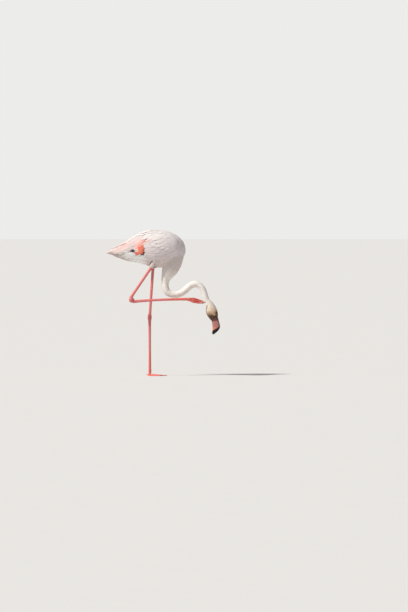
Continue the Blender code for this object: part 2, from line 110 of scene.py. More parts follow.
# culmen, gape and chin, each along and up, then the half width of the upper and the lower mandible
BILL = lengths(
    (1163, 178, 1163, 40, 1163, -235, 132, 140), (1320, 162, 1310, 42, 1300, -243, 117, 138),
    (1480, 145, 1460, 30, 1440, -277, 109, 139), (1640, 120, 1600, 0, 1575, -318, 105, 137),
    (1765, 60, 1712, -58, 1680, -358, 101, 130), (1855, -50, 1790, -142, 1748, -392, 92, 115),
    (1915, -178, 1860, -240, 1805, -428, 78, 94), (1960, -315, 1920, -345, 1865, -462, 56, 66),
    (1985, -422, 1965, -435, 1930, -470, 28, 32),
)
# thigh end, shank end, ankle, start of the tarsus and base of the toes
LEG = {
    "left": [(0.0130, 0.0260, 0.6170), *[(-0.0005, 0.0110, 0.3335)] * 3, (0.0010, 0.0, 0.0110)],
    "right": [(0.0085, -0.0400, 0.6170), (-0.1085, -0.0620, 0.4460), (-0.1030, -0.0620, 0.4345),
              (-0.0960, -0.0620, 0.4250), (0.2250, -0.0570, 0.4390)],
}
LEG = {side: [Vector(point) for point in points] for side, points in LEG.items()}
THIGH_ROOT = {"left": Vector((0.032, 0.030, 0.668)), "right": Vector((0.040, -0.036, 0.668))}
# radii by the share of the way along a limb
THIGH_RADII = ((0.0, 0.0240), (0.45, 0.0205), (1.0, 0.0122))
SHANK_RADII = ((0.0, 0.0088), (0.35, 0.0078), (0.85, 0.0078), (1.0, 0.0090))
TARSUS_RADII = ((0.0, 0.0094), (0.14, 0.0080), (0.50, 0.0071), (0.86, 0.0075), (0.96, 0.0082), (1.0, 0.0060))
TARSUS_BOW = {"left": 0.0, "right": 0.0032}
LEG_NARROWING = 0.82
ANKLE = {"left": (0.0118, 0.0290), "right": (0.0152, 0.0165)}  # radius and half length
TOE_LENGTH = {"middle": 0.091, "inner": 0.077, "outer": 0.083}
TOE_HALF_WIDTH, TOE_HEIGHT = (0.0060, 0.0028), (0.0118, 0.0050)  # at the base and at the tip
HIND_TOE_LENGTH = 0.017
HIND_TOE = {"left": (0.004, 0.0105, 28), "right": (0.001, 0.0020, 76)}  # how far behind, height and pitch
CLAW_LENGTH, CLAW_RADIUS = 0.010, 0.0024
CLAW_ROOT = 0.0008  # how far a claw starts inside its toe
CLAW_LIFT, CLAW_HOOK = 0.0034, 0.0016  # how high its root is, and how far its tip bends down
WEB_START, WEB_REACH, WEB_DIP, WEB_THICKNESS, WEB_HEIGHT = 0.05, 0.90, 0.16, 0.0013, 0.0026
PAD_RADIUS, PAD_HEIGHT = 0.0100, 0.0155
FOOT_SPREAD = {"left": (37, 0.0, 0.0), "right": (5, 0.0090, 0.0060)}  # degrees, bow and the webs' sag
TOE_BOW_EARLY, TOE_JOINTS, TOE_SWELL, TOE_BLUNT_FROM, TOE_BLUNT = 0.7, 3, 0.10, 0.92, 0.45
RAISED_TIP = Vector((0.3290, -0.0485, 0.4200))
RAISED_ROLL = 58

# ---------------------------------------------------------------- how the coat lies over the skin
TRUNK_COAT = 0.0095  # the coat's depth on the trunk
TAIL_COAT = 0.0030
SKIN_END_X = -0.2465
NECK_COAT = ((0, 0.0085), (3, 0.0080), (5, 0.0050), (7, 0.0040), (12, 0.0036), (21, 0.0026))
HEAD_COAT = ((0, 0.0026), (0.05, 0.0022), (0.09, 0.0016), (0.105, 0.0009), (0.116, 0.0005))
BLEND_START = 4.6  # the index of NECK where the neck's own skin starts, inside the trunk's
PATCH = 0.003  # how wide a feather's patch is on the unwrap
VANE_SCALE = 10.0  # of the map that the barbs follow, to the metre
BARB = 0.00055  # from one barb to the next
BARB_SLANT, SHAFT_HALF_WIDTH = 1.1, 0.0004
# painted shade: each vane darker towards its root, under the vanes that lie over it
VANE_ROOT, ROOT_SHADE = 0.30, 0.14  # of a vane, how wide its root is and how much darker
STATION_POWER, TORN_FROM, RISEN_BY = 1.35, 0.25, 0.42  # where a vane's stations, torn rim and rise are
BODY_SCALE, HEAD_SCALE = 1.3, 3.0  # of the unwrap, to the metre
MOST_TRIANGLES = 190000  # in one piece of the coat


def spline(rows):
    """A smooth function through rows of numbers, by their first column, for an array of places."""
    rows = np.array(rows, float)
    at, values = rows[:, 0], rows[:, 1:]
    before = np.maximum(np.arange(len(rows)) - 1, 0)
    after = np.minimum(np.arange(len(rows)) + 1, len(rows) - 1)
    slopes = (values[after] - values[before]) / (at[after] - at[before])[:, None]

    def value(x):
        x = np.atleast_1d(np.asarray(x, float))
        i = np.clip(np.searchsorted(at, x, side="right") - 1, 0, len(rows) - 2)
        span = at[i + 1] - at[i]
        t = np.clip((x - at[i]) / span, 0, 1)[:, None]
        span = span[:, None]
        return (
            (2 * t**3 - 3 * t**2 + 1) * values[i]
            + (t**3 - 2 * t**2 + t) * span * slopes[i]
            + (3 * t**2 - 2 * t**3) * values[i + 1]
            + (t**3 - t**2) * span * slopes[i + 1]
        )

    return value


def numbered(rows):
    return [(float(i), *row) for i, row in enumerate(rows)]


def smooth(x, low, high):
    t = np.clip((np.asarray(x, float) - low) / (high - low), 0, 1)
    return t * t * (3 - 2 * t)


def unit(v):
    return v / np.maximum(np.linalg.norm(v, axis=-1, keepdims=True), 1e-9)


def crossed(axis):
    """Two directions across an axis: one square to y, and one square to both."""
    across = unit(np.cross(axis, [0, 1, 0]))
    return across, np.cross(across, axis)


def bell(x, middle, width):
    """1 at the middle, falling softly to 0 beside it."""
    return np.exp(-(((x - middle) / width) ** 2))


def circle(count):
    """Even steps of angle round a full turn."""
    return np.linspace(0, 2 * math.pi, count, endpoint=False)


def far_from(p, point):
    return np.linalg.norm(p - np.array(point), axis=1)


REAR_OUTLINE = spline(REAR)
WING_OUTLINE = spline(WING_EDGES)
NECK_ROUTE = spline(numbered(NECK))
HEAD_OUTLINE = spline(HEAD)
NECK_DEPTH = spline(NECK_COAT)
HEAD_DEPTH = spline(HEAD_COAT)


def body_outline(x):
    """(underside, back, half width) of the body at each x."""
    rear = REAR_OUTLINE(np.minimum(x, CREST_X))
    along = np.clip((x - CREST_X) / (BREAST_X - CREST_X), 0, 1)
    share = (1 - along**FULLNESS) ** (1 / FULLNESS)
    low = np.where(x > CREST_X, BREAST_Z - (BREAST_Z - BELLY_Z) * share, rear[:, 0])
    high = np.where(x > CREST_X, BREAST_Z + (CREST_Z - BREAST_Z) * share, rear[:, 1])
    half = np.where(x > CREST_X, TRUNK_HALF_WIDTH * share, rear[:, 2])
    return low, high, half


def body_point(x, degrees, out):
    """Points on the body's sections, 90 degrees being the back and 0 the left side."""
    low, high, half = body_outline(x)
    middle = (low + high) / 2
    c, s = np.cos(np.radians(degrees)), np.sin(np.radians(degrees))
    across = np.sign(c) * np.abs(c) ** (2 / FULLNESS)
    up = np.sign(s) * np.abs(s) ** (2 / FULLNESS)
    narrowing = 1 - KEEL * np.maximum(-up, 0)
    y = np.maximum(half * narrowing + out, 0.0006) * across
    z = middle + np.maximum(high - middle + out, 0.0006) * up
    return np.stack([x, y, z], -1)


def folded(degrees):
    """The angle on the left side that mirrors this one."""
    d = (np.asarray(degrees, float) + 180) % 360 - 180
    return np.where(d > 90, 180 - d, np.where(d < -90, -180 - d, d))


def wing_share(x, degrees):
    """0 at the folded wing's upper edge and 1 at its lower edge."""
    upper, lower = WING_OUTLINE(x).T
    return (upper - folded(degrees)) / (upper - lower)


def wing_relief(x, degrees):
    """How far the folded wing stands out from the body's outline."""
    share = wing_share(x, degrees)
    along = np.clip((WING_FRONT_X - x) / (WING_FRONT_X - WING_TIP_X), 0, 1)
    fullness = 0.40 + 0.60 * np.sin(math.pi * np.minimum(1.25 * along, 0.5 + 0.5 * along)) ** 0.6
    thickness = WING_THICKNESS * fullness * (0.34 + 0.66 * np.sin(math.pi * np.clip(share, 0, 1)) ** 0.7)
    soft = smooth(share, -0.02, 0.07) * smooth(1 - share, -0.02, 0.07) * smooth(along, 0, 0.05)
    return (WING_CLEARANCE + thickness) * soft


def coat_depth(x):
    return TAIL_COAT + (TRUNK_COAT - TAIL_COAT) * smooth(x, -0.235, -0.10)


def trunk_skin(x, degrees):
    """Points on the trunk's skin: the coat's outline less its depth."""
    depth = coat_depth(x)
    p = body_point(x, degrees, wing_relief(x, degrees) - depth)
    p[:, 0] -= depth * np.clip((x - CREST_X) / (BREAST_X - CREST_X), 0, 1)
    return p


def neck_frames(at):
    """Centre, side, across, radius and axis of the neck at each index of NECK."""
    row, ahead, behind = NECK_ROUTE(at), NECK_ROUTE(at + 0.02), NECK_ROUTE(at - 0.02)
    axis = unit(ahead[:, :3] - behind[:, :3])
    axis[at > NECK_END] = HEAD_AXIS
    across, side = crossed(axis)
    narrowing = NECK_ROOT_NARROWING + (1 - NECK_ROOT_NARROWING) * np.minimum(at / NECK_ROUND_FROM, 1)
    return row[:, :3], side * narrowing[:, None], across, row[:, 3], axis


def neck_skin(at, turn, depth=None):
    """Points on the neck's skin by index along it and by angle, 90 degrees being the nape's side."""
    centre, side, across, radius, _ = neck_frames(at)
    depth = NECK_DEPTH(at)[:, 0] if depth is None else depth
    a = np.radians(turn)[:, None]
    return centre + (radius - depth)[:, None] * (side * np.cos(a) + across * np.sin(a))


def in_head(along, up, side=0.0):
    return NAPE + HEAD_AXIS * along + HEAD_UP * up + Vector((0, side, 0))


def head_place(along, up, side):
    along, up, side = np.broadcast_arrays(along, up, side)
    base = np.array(NAPE) + along[..., None] * np.array(HEAD_AXIS) + up[..., None] * np.array(HEAD_UP)
    return base + side[..., None] * np.array([0, 1, 0])


def head_coordinates(points):
    """(along, up, side) of points in the head's frame."""
    d = points - np.array(NAPE)
    return d @ np.array(HEAD_AXIS), d @ np.array(HEAD_UP), d[:, 1]


def head_skin(along, turn):
    """Points on the head's skin by the distance from the nape and by angle."""
    throat, crown, half = HEAD_OUTLINE(along).T
    end, depth = smooth(along, 0.1065, HEAD_LENGTH), HEAD_DEPTH(along)[:, 0]
    throat, half = throat + 0.0022 * end, half - 0.0009 * end
    a = np.radians(turn)
    middle, deep = (crown + throat) / 2, (crown - throat) / 2 - depth
    return head_place(along, middle + deep * np.sin(a), (half - depth) * np.cos(a))


# ---------------------------------------------------------------- meshes
def read(items, key, width, kind=np.float32):
    """One property of every item, as rows of numbers."""
    values = np.empty(len(items) * width, kind)
    items.foreach_get(key, values)
    return values.reshape(-1, width)


def vertices(mesh):
    return read(mesh.vertices, "co", 3).astype(float)


def softened(mesh):
    """The mesh, its faces shaded smoothly."""
    mesh.polygons.foreach_set("use_smooth", np.ones(len(mesh.polygons), bool))
    return mesh


def mesh_of(name, bm):
    mesh = bpy.data.meshes.new(name)
    bm.to_mesh(mesh)
    bm.free()
    return mesh


def new_mesh(name, verts, quads):
    mesh = bpy.data.meshes.new(name)
    mesh.vertices.add(len(verts))
    mesh.vertices.foreach_set("co", np.ascontiguousarray(verts, np.float32).ravel())
    mesh.loops.add(quads.size)
    mesh.loops.foreach_set("vertex_index", np.ascontiguousarray(quads, np.int32).ravel())
    mesh.polygons.add(len(quads))
    mesh.polygons.foreach_set("loop_start", np.arange(0, quads.size, 4, dtype=np.int32))
    mesh.update(calc_edges=True)
    return softened(mesh)


def add_object(name, mesh, material=None):
    obj = bpy.data.objects.new(name, mesh)
    bpy.context.scene.collection.objects.link(obj)
    if material:
        mesh.materials.append(material)
    return obj


def grid_faces(rows, count):
    """Quads between rings of a tube."""
    i, j = np.meshgrid(np.arange(rows - 1), np.arange(count), indexing="ij")
    a, k = i * count + j, (j + 1) % count
    return np.stack([a, i * count + k, (i + 1) * count + k, a + count], -1).reshape(-1, 4)


def tube_mesh(name, rings):
    """A closed tube through rings (rows, count, 3), its ends closed by fans."""
    rows, count = rings.shape[:2]
    bm = bmesh.new()
    verts = [bm.verts.new(p) for p in rings.reshape(-1, 3).tolist()]
    for face in grid_faces(rows, count).tolist():
        bm.faces.new([verts[i] for i in face])
    for row in (0, rows - 1):
        ring = verts[row * count : (row + 1) * count]
        middle = bm.verts.new(np.mean(rings[row], axis=0).tolist())
        for i in range(count):
            bm.faces.new((ring[i], ring[(i + 1) % count], middle))
    bmesh.ops.recalc_face_normals(bm, faces=bm.faces)
    return mesh_of(name, bm)


def joined(name, meshes):
    """One mesh out of several, each given in place."""
    bm = bmesh.new()
    for mesh in meshes:
        bm.from_mesh(mesh)
    return mesh_of(name, bm)


def remeshed(mesh, voxel, passes, ratio=1.0):
    """The outside of a mesh that may pass through itself, as one smooth closed surface."""
    obj = add_object("remeshed", mesh)
    for kind, settings in (
        ("REMESH", {"mode": "VOXEL", "voxel_size": voxel}),
        ("SMOOTH", {"factor": 0.5, "iterations": passes}),
        ("DECIMATE", {"ratio": ratio}),
    ):
        modifier = obj.modifiers.new(kind, kind)
        for key, value in settings.items():
            setattr(modifier, key, value)
    graph = bpy.context.evaluated_depsgraph_get()
    made = bpy.data.meshes.new_from_object(obj.evaluated_get(graph))
    bpy.data.objects.remove(obj)
    return made


# ---------------------------------------------------------------- legs and feet
def leg_rings(start, end, radii, steps=24, narrowing=LEG_NARROWING, bow=0.0):
    """Rings of a limb from start to end, its radius following radii by its share of the way."""
    start, end = np.array(start), np.array(end)
    across, side = crossed(unit(end - start))
    share = np.linspace(0, 1, steps + 1)
    centre = start + (end - start) * share[:, None] + across * (bow * np.sin(math.pi * share))[:, None]
    a = circle(24)
    around = np.cos(a)[:, None] * (side * narrowing) + np.sin(a)[:, None] * across
    return centre[:, None] + spline(radii)(share)[:, 0][:, None, None] * around


def ankle_mesh(side):
    """The swollen joint, an ellipsoid."""
    thigh, _, ankle, _, toe = LEG[side]
    long_axis = ((thigh - ankle).normalized() - (toe - ankle).normalized()).normalized()
    radius, half_length = ANKLE[side]
    bm = bmesh.new()
    bmesh.ops.create_uvsphere(bm, u_segments=32, v_segments=24, radius=1.0)
    turn = Vector((0, 0, 1)).rotation_difference(long_axis).to_matrix().to_4x4()
    narrow = Matrix.Diagonal((1, LEG_NARROWING, 1, 1))
    place = Matrix.Translation(ankle) @ narrow @ turn @ Matrix.Diagonal((radius, radius, half_length, 1))
    bmesh.ops.transform(bm, matrix=place, verts=bm.verts)
    return mesh_of("ankle", bm)


def toe_place(length, angle, bow, share):
    """Where the middle of a toe is, by its share of the way along it."""
    turn = math.radians(angle)
    along, out = length * share, bow * math.sin(math.pi * max(share, 0) ** TOE_BOW_EARLY)
    x = along * math.cos(turn) - out * math.sin(turn)
    return Vector((x, along * math.sin(turn) + out * math.cos(turn), 0))


def toe_mesh(length, angle=0.0, bow=0.0, steps=30, count=20):
    """A toe, domed above and flatter below, with a swelling at each joint."""
    rings = []
    for i in range(steps + 1):
        share = i / steps
        centre = toe_place(length, angle, bow, share)
        ahead = toe_place(length, angle, bow, share + 0.01) - toe_place(length, angle, bow, share - 0.01)
        side = Vector((-ahead.y, ahead.x, 0)).normalized()
        blunt = 1 - TOE_BLUNT * max((share - TOE_BLUNT_FROM) / (1 - TOE_BLUNT_FROM), 0) ** 2
        half, high = [(a + (b - a) * share) * blunt for a, b in (TOE_HALF_WIDTH, TOE_HEIGHT)]
        swell = 1 + TOE_SWELL * math.cos(2 * math.pi * TOE_JOINTS * share)
        ring = []
        for j in range(count):
            a = 2 * math.pi * j / count
            z = max(high * (0.36 + 0.64 * swell * math.sin(a)), 0.0003)
            ring.append(centre + side * half * swell * math.cos(a) + Vector((0, 0, z)))
        rings.append(ring)
    return tube_mesh("toe", np.array(rings))


def web_mesh(middle, other, sag):
    """The sheet between two toes, each given as length, angle and bow, with a curved front edge."""
    along, across = 24, 18
    top, low = [], []
    for i in range(along + 1):
        for j in range(across + 1):
            share = j / across
            dip = math.sin(math.pi * share)
            reach = WEB_START + (WEB_REACH - WEB_START) * i / along * (1 - WEB_DIP * dip)
            place = toe_place(*middle, reach).lerp(toe_place(*other, reach), share)
            drop = sag * dip * math.sin(math.pi * min(1.0, i / along + 0.15)) ** 0.7
            crease = 0.00022 * math.sin(share * math.pi * 9 + i * 0.25) * dip
            place = place + Vector((0, 0, WEB_HEIGHT - drop + crease))
            top.append(place + Vector((0, 0, WEB_THICKNESS / 2)))
            low.append(place - Vector((0, 0, WEB_THICKNESS / 2)))
    width, size = across + 1, len(top)
    faces = []
    for i in range(along):
        for a in range(i * width, i * width + across):
            faces.append((a, a + 1, a + width + 1, a + width))
            faces.append((a + size, a + width + size, a + width + 1 + size, a + 1 + size))
    border = [*range(across), *(across + width * i for i in range(along))]
    border += [size - 1 - i for i in range(across)] + [width * (along - i) for i in range(along)]
    faces += [(b, a, a + size, b + size) for a, b in zip(border, border[1:] + border[:1])]
    mesh = bpy.data.meshes.new("web")
    mesh.from_pydata([tuple(p) for p in top + low], [], faces)
    mesh.validate()
    return mesh


def foot_toes(side):
    """Each front toe of a foot as length, angle and bow."""
    spread, bow, _ = FOOT_SPREAD[side]
    turns = {"middle": 0, "inner": -SIDES[side], "outer": SIDES[side]}
    return {toe: (TOE_LENGTH[toe], turn * spread, turn * bow) for toe, turn in turns.items()}


def raised_foot_place():
    """The raised foot carries on from its tarsus, its upper side rolled outwards."""
    toe = LEG["right"][4]
    forward = (RAISED_TIP - toe).normalized()
    across = Vector((0, 0, 1)).cross(forward).normalized()
    up = forward.cross(across)
    turn = Matrix((forward, across, up)).transposed().to_4x4()
    roll = Matrix.Rotation(math.radians(RAISED_ROLL), 4, "X")
    return Matrix.Translation(toe) @ turn @ roll @ Matrix.Translation((0, 0, -PAD_HEIGHT / 2))


FOOT_PLACE = {"left": Matrix.Identity(4), "right": raised_foot_place()}


def foot_meshes(side):
    toes = foot_toes(side)
    a = np.linspace(0, math.pi / 2 * 0.97, 12)[:, None]
    t = circle(28)
    r = PAD_RADIUS * np.cos(a) ** 0.6
    pad = np.stack([r * np.cos(t), r * np.sin(t), PAD_HEIGHT * np.sin(a) * np.ones_like(t)], -1)
    made = [tube_mesh("pad", pad), *[toe_mesh(*toe) for toe in toes.values()]]
    made += [web_mesh(toes["middle"], toes[toe], FOOT_SPREAD[side][2]) for toe in ("inner", "outer")]
    behind, height, pitch = HIND_TOE[side]
    back = Matrix.Translation((-behind, 0, height)) @ Matrix.Rotation(math.pi, 4, "Z")
    back = back @ Matrix.Rotation(math.radians(pitch), 4, "Y") @ Matrix.Diagonal((1, 0.62, 0.50, 1))
    hind = toe_mesh(HIND_TOE_LENGTH, steps=12)
    hind.transform(back)
    for mesh in (*made, hind):
        mesh.transform(FOOT_PLACE[side])
    return [*made, hind]


def leg_mesh(side):
    """A bare leg and foot as one surface, from inside the thigh's feathers down."""
    thigh_end, shank_end, _, tarsus_start, toe = LEG[side]
    up = (THIGH_ROOT[side] - thigh_end).normalized()
    shank = leg_rings(thigh_end + up * 0.02, shank_end, SHANK_RADII)
    tarsus = leg_rings(tarsus_start, toe, TARSUS_RADII, steps=48, bow=TARSUS_BOW[side])
    meshes = [tube_mesh("shank", shank), tube_mesh("tarsus", tarsus), ankle_mesh(side)]
    return remeshed(joined("leg", meshes + foot_meshes(side)), voxel=0.00068, passes=3, ratio=0.36)


def claws(side):
    """The three claws of a foot: short blunt hooks with a ridge."""
    meshes = []
    for toe in foot_toes(side).values():
        end, before = toe_place(*toe, 1.0), toe_place(*toe, 0.98)
        turn = Matrix.Rotation(math.atan2(end.y - before.y, end.x - before.x), 4, "Z")
        share = np.linspace(0, 0.985, 16)
        a = circle(20)
        r = CLAW_RADIUS * (1 - share**1.6)
        middle = np.stack([CLAW_LENGTH * share - CLAW_ROOT, 0 * share, CLAW_LIFT - CLAW_HOOK * share**2], -1)
        ridge = 1 + 0.10 * np.maximum(np.sin(a), 0) ** 6
        ring = np.stack([0 * a, 0.8 * np.cos(a), np.sin(a) * ridge], -1)
        mesh = tube_mesh("claw", middle[:, None] + r[:, None, None] * ring)
        mesh.transform(FOOT_PLACE[side] @ Matrix.Translation(end) @ turn)
        meshes.append(mesh)
    return softened(joined("claws_" + side, meshes))


# ---------------------------------------------------------------- skin of the trunk, neck and head
def rings_of(surface, along, turn):
    """Rings of points of a surface, given by places along it and angles round it."""
    a, t = np.meshgrid(along, turn, indexing="ij")
    return surface(a.ravel(), t.ravel()).reshape(len(along), len(turn), 3)


def trunk_mesh():
    """Trunk, root of the neck and thighs, grown together."""
    rear = np.linspace(SKIN_END_X, CREST_X, 60)
    front = CREST_X + (BREAST_X - CREST_X) * np.sin(np.linspace(0, math.pi / 2, 42)[1:-1])
    degrees = np.linspace(0, 360, 96, endpoint=False)
    meshes = [tube_mesh("trunk", rings_of(trunk_skin, np.concatenate([rear, front]), degrees)),
              tube_mesh("root", rings_of(neck_skin, np.linspace(0, 6.4, 30), degrees[::2]))]
    for side in SIDES:
        radii = [(s, r - 0.0045 + 0.0015 * s) for s, r in THIGH_RADII]
        meshes.append(tube_mesh("thigh", leg_rings(THIGH_ROOT[side], LEG[side][0], radii, narrowing=1.0)))
    return remeshed(joined("trunk", meshes), voxel=0.0026, passes=14)


def face_detail(along, up, side):
    """How far the skin of the face stands out."""
    socket = 0.0004 * bell(np.hypot(along - EYE_ALONG, up - EYE_UP), 0.0070, 0.0030)
    lores = -0.0013 * bell(up, 0.0045 - 0.02 * (along - 0.100), 0.0036) * smooth(along, 0.098, 0.106)
    cheek = 0.0011 * np.exp(-(((along - 0.078) / 0.014) ** 2 + ((up + 0.012) / 0.009) ** 2))
    brow = 0.0007 * np.exp(-(((along - 0.092) / 0.010) ** 2 + ((up - 0.0165) / 0.0035) ** 2))
    gape = -0.0009 * bell(up, 0.0035 - 0.35 * (0.116 - along), 0.0012) * smooth(along, 0.104, 0.112)
    return (socket + lores + cheek + brow + gape) * smooth(np.abs(side), 0.006, 0.012)


def thin_neck(at, turn):
    """The neck's own skin, deeper where it lies inside the trunk's."""
    return neck_skin(at, turn, NECK_DEPTH(at)[:, 0] + 0.0008 * (1 - smooth(at, 6.0, 6.6)))


def face(along, turn):
    """The head's skin with the forms of the face in it."""
    flat = head_skin(along, turn)
    outward = unit(head_place(0, np.sin(np.radians(turn)), np.cos(np.radians(turn))) - np.array(NAPE))
    return flat + outward * face_detail(*head_coordinates(flat))[:, None]


def neck_mesh():
    """Neck and head as one tube, closed by a lip inside the bill's base."""
    turn = np.linspace(0, 360, 112, endpoint=False)
    neck = rings_of(thin_neck, np.linspace(BLEND_START, 20.85, 215), turn)
    head = rings_of(face, np.linspace(0.0008, HEAD_LENGTH, 110), turn)
    last, centre = head[-1], head[-1].mean(axis=0)
    lip = [centre + (last - centre) * share + np.array(HEAD_AXIS) * ahead
           for share, ahead in ((0.985, 0.0006), (0.94, 0.0010), (0.80, 0.0008))]
    return tube_mesh("neck", np.concatenate([neck, head, np.array(lip)]))


def lid_mesh(sign):
    """The bare lids round an eye: a soft rim on the ball that slopes out into the skin."""
    count = 72
    # how far from the eye's middle, how far out from the ball, and how much of the skin's own height
    profile = ((0.0047, -0.0005, 0), (0.0049, 0.0002, 0), (0.0052, 0.0005, 0), (0.0056, 0.0006, 0),
               (0.0062, 0.0002, 0.25), (0.0070, 0.0002, 0.60), (0.0079, 0.0002, 0.88), (0.0092, -0.0006, 1.0))
    t = circle(count)
    corner = 1 + 0.13 * np.abs(np.cos(t)) ** 6 - 0.02 * np.abs(np.sin(t))
    rings = []
    for reach, rise, share in profile:
        wrinkle = 0.00007 * np.sin(t * 26) * (0.0055 < reach < 0.0085)
        r = reach * (corner + (1 - corner) * share)
        flat = head_place(EYE_ALONG + r * np.cos(t), EYE_UP + r * np.sin(t), np.zeros(count))
        on_ball = EYE_OUT + np.sqrt(np.maximum(EYE_RADIUS**2 - np.minimum(r, 0.0062) ** 2, 0))
        over_ball = EYE_OUT + np.sqrt(np.maximum(EYE_RADIUS**2 - r**2, 0)) + 0.0003
        skin_y = np.abs(GROUND.beside(flat[:, 0], flat[:, 2], sign)[0][:, 1] - NAPE.y)
        y = on_ball * (1 - share) + skin_y * share + rise + wrinkle
        flat[:, 1] = NAPE.y + sign * np.where(r < 0.0079, np.maximum(y, over_ball), y)
        rings.append(flat)
    quads = grid_faces(len(profile), count)
    return new_mesh("lids", np.array(rings).reshape(-1, 3), quads if sign < 0 else quads[:, ::-1])


# ---------------------------------------------------------------- markings and painted shade, the same for skin and coat
WHITE = np.array([0.81, 0.73, 0.715])
BACK = np.array([0.85, 0.795, 0.775])
PINK = np.array([0.86, 0.46, 0.38])
FLANK = np.array([0.765, 0.680, 0.685])
STREAK = np.array([0.86, 0.37, 0.27])
# painted shade under the tail and between its strands
TAIL_SHADE = np.array([0.38, 0.29, 0.24])
NECK_WHITE = np.array([0.90, 0.845, 0.79])
CREAM = np.array([0.857, 0.735, 0.608])
TAN = np.array([0.70, 0.46, 0.27])
# brown stain and painted shade on the lower face, on its throat side
DRAB_STAIN_AND_SHADE = np.array([0.25, 0.165, 0.105])
# brown stain on the face near the bill, and painted shade on the brow beside the bill
BROWN_STAIN_AND_SHADE = np.array([0.102, 0.043, 0.023])
# painted shade: a greyer, darker tone put on undersides and under the body
UNDERSIDE_SHADE = np.array([0.66, 0.56, 0.51])


def mixed(base, other, share):
    return base + (other - base) * np.clip(share, 0, 1)[:, None]


def tinted(colour, other, share):
    """A colour for each share, mixed with another."""
    return mixed(np.tile(colour, (len(share), 1)), other, share)


def spot(x, z, at_x, at_z, long, high, tilt):
    """1 in the middle of an oval seen from the side, falling softly to 0 at its rim."""
    t = math.radians(tilt)
    dx, dz = x - at_x, z - at_z
    a, b = dx * math.cos(t) + dz * math.sin(t), -dx * math.sin(t) + dz * math.cos(t)
    return np.exp(-((a / long) ** 2 + (b / high) ** 2))


def markings(p, where):
    """The plumage's colour at points of the "trunk", "neck" or "head", with painted shade low on the body and
    neck, on the throat side of the face and on the brow beside the bill.
    """
    x, _, z = p.T
    if where == "head":
        along, up, _ = head_coordinates(p)
        colour = tinted(NECK_WHITE, CREAM, smooth(along, 0.0, 0.06))
        colour = mixed(colour, TAN, 0.85 * smooth(along - 0.15 * (up - 0.01), 0.056, 0.088))
        # partly brown stain, partly painted shade: the lower face darker on its throat side
        colour = mixed(colour, DRAB_STAIN_AND_SHADE, 0.75 * smooth(along, 0.066, 0.086) * smooth(-up, 0.002, 0.020))
        # painted shade on the brow beside the bill; brown stain with painted shade on the face towards the
        # bill
        forehead = smooth(along, 0.078, 0.092) * smooth(up, 0.010, 0.017)
        return mixed(colour, BROWN_STAIN_AND_SHADE, 0.96 * np.maximum(forehead, smooth(along - 0.22 * up, 0.087, 0.102)))
    if where == "neck":
        # painted shade low on the neck's loop and where the neck meets the underside of the body
        low = smooth(0.50 - z, 0.0, 0.03) * smooth(0.20 - x, 0, 0.05)
        return tinted(NECK_WHITE, UNDERSIDE_SHADE, 0.25 * low + 0.35 * smooth(z, 0.55, 0.62))
    colour = tinted(WHITE, BACK, smooth(z, 0.74, 0.81))
    colour = mixed(colour, FLANK, 0.8 * smooth(0.79 - z, 0.0, 0.06) * smooth(x, -0.05, 0.02))
    colour = mixed(colour, FLANK, 0.6 * smooth(-x, 0.06, 0.14))
    # painted shade: darker towards the underside of the body
    return flushed(p, mixed(colour, UNDERSIDE_SHADE, 0.65 * smooth(0.70 - z, 0.0, 0.08)))


def flushed(p, colour):
    """The pink flush of the long feathers and of the wing's edge, and painted shade low at the rear, over a
    colour.
    """
    x, y, z = p.T
    side, rear = smooth(np.abs(y), 0.008, 0.024), smooth(-x, 0.03, 0.10)
    colour = mixed(colour, STREAK, 0.85 * spot(x, z, -0.176, 0.7330, 0.044, 0.0100, 24) * side)
    colour = mixed(colour, STREAK, 0.24 * spot(x, z, -0.118, 0.752, 0.050, 0.0160, 24) * side)
    colour = mixed(colour, PINK, 0.16 * rear * smooth(0.76 - z, 0.0, 0.04))
    colour = mixed(colour, PINK * 0.92, 0.80 * spot(x, z, -0.014, 0.766, 0.028, 0.0055, 22) * side)
    # painted shade low at the rear
    return painted_tail_shade(p, mixed(colour, UNDERSIDE_SHADE, 0.45 * rear * smooth(0.705 - z, 0.0, 0.02)))


def painted_tail_shade(p, colour):
    """Painted shade under the tail: a dim brown over a colour."""
    x, _, z = p.T
    under = smooth(-x, 0.035, 0.075) * smooth(x, -0.232, -0.205)
    return mixed(colour, TAIL_SHADE, 0.60 * (under * smooth(0.696 - 0.35 * (x + 0.20) - z, 0.0, 0.012)))


# ---------------------------------------------------------------- feathers
class Skin:
    """The surface that feathers grow on and follow."""

    def __init__(self, meshes):
        points, normals, tris, start = [], [], [], 0
        for mesh in meshes:
            mesh.calc_loop_triangles()
            points.append(vertices(mesh))
            normals.append(read(mesh.vertices, "normal", 3).astype(float))
            tris.append(read(mesh.loop_triangles, "vertices", 3, np.int32) + start)
            start += len(points[-1])
        points, normals, tris = map(np.concatenate, (points, normals, tris))
        self.tree = BVHTree.FromPolygons(points.tolist(), tris.tolist())
        self.normals = unit(normals[tris].mean(axis=1))

    def nearest(self, points):
        """The nearest places on the skin, the smooth normals there and the distances."""
        flat, shape = points.reshape(-1, 3), points.shape[:-1]
        places, indexes, far = np.empty_like(flat), np.empty(len(flat), int), np.empty(len(flat))
        find = self.tree.find_nearest
        for i, p in enumerate(flat.tolist()):
            places[i], _, indexes[i], far[i] = find(p)
        return places.reshape(*shape, 3), self.normals[indexes].reshape(*shape, 3), far.reshape(shape)

    def beside(self, x, z, sign):
        """The places on one side of the body at each x and z, seen straight from that side."""
        places, normals = [], []
        for a, b in zip(x.tolist(), z.tolist()):
            hit, _, index, _ = self.tree.ray_cast(Vector((a, 0.2 * sign, b)), Vector((0, -sign, 0)))
            if hit is None:
                hit, _, index, _ = self.tree.find_nearest(Vector((a, 0.02 * sign, b)))
            places.append(tuple(hit))
            normals.append(self.normals[index])
        return np.array(places), np.array(normals)


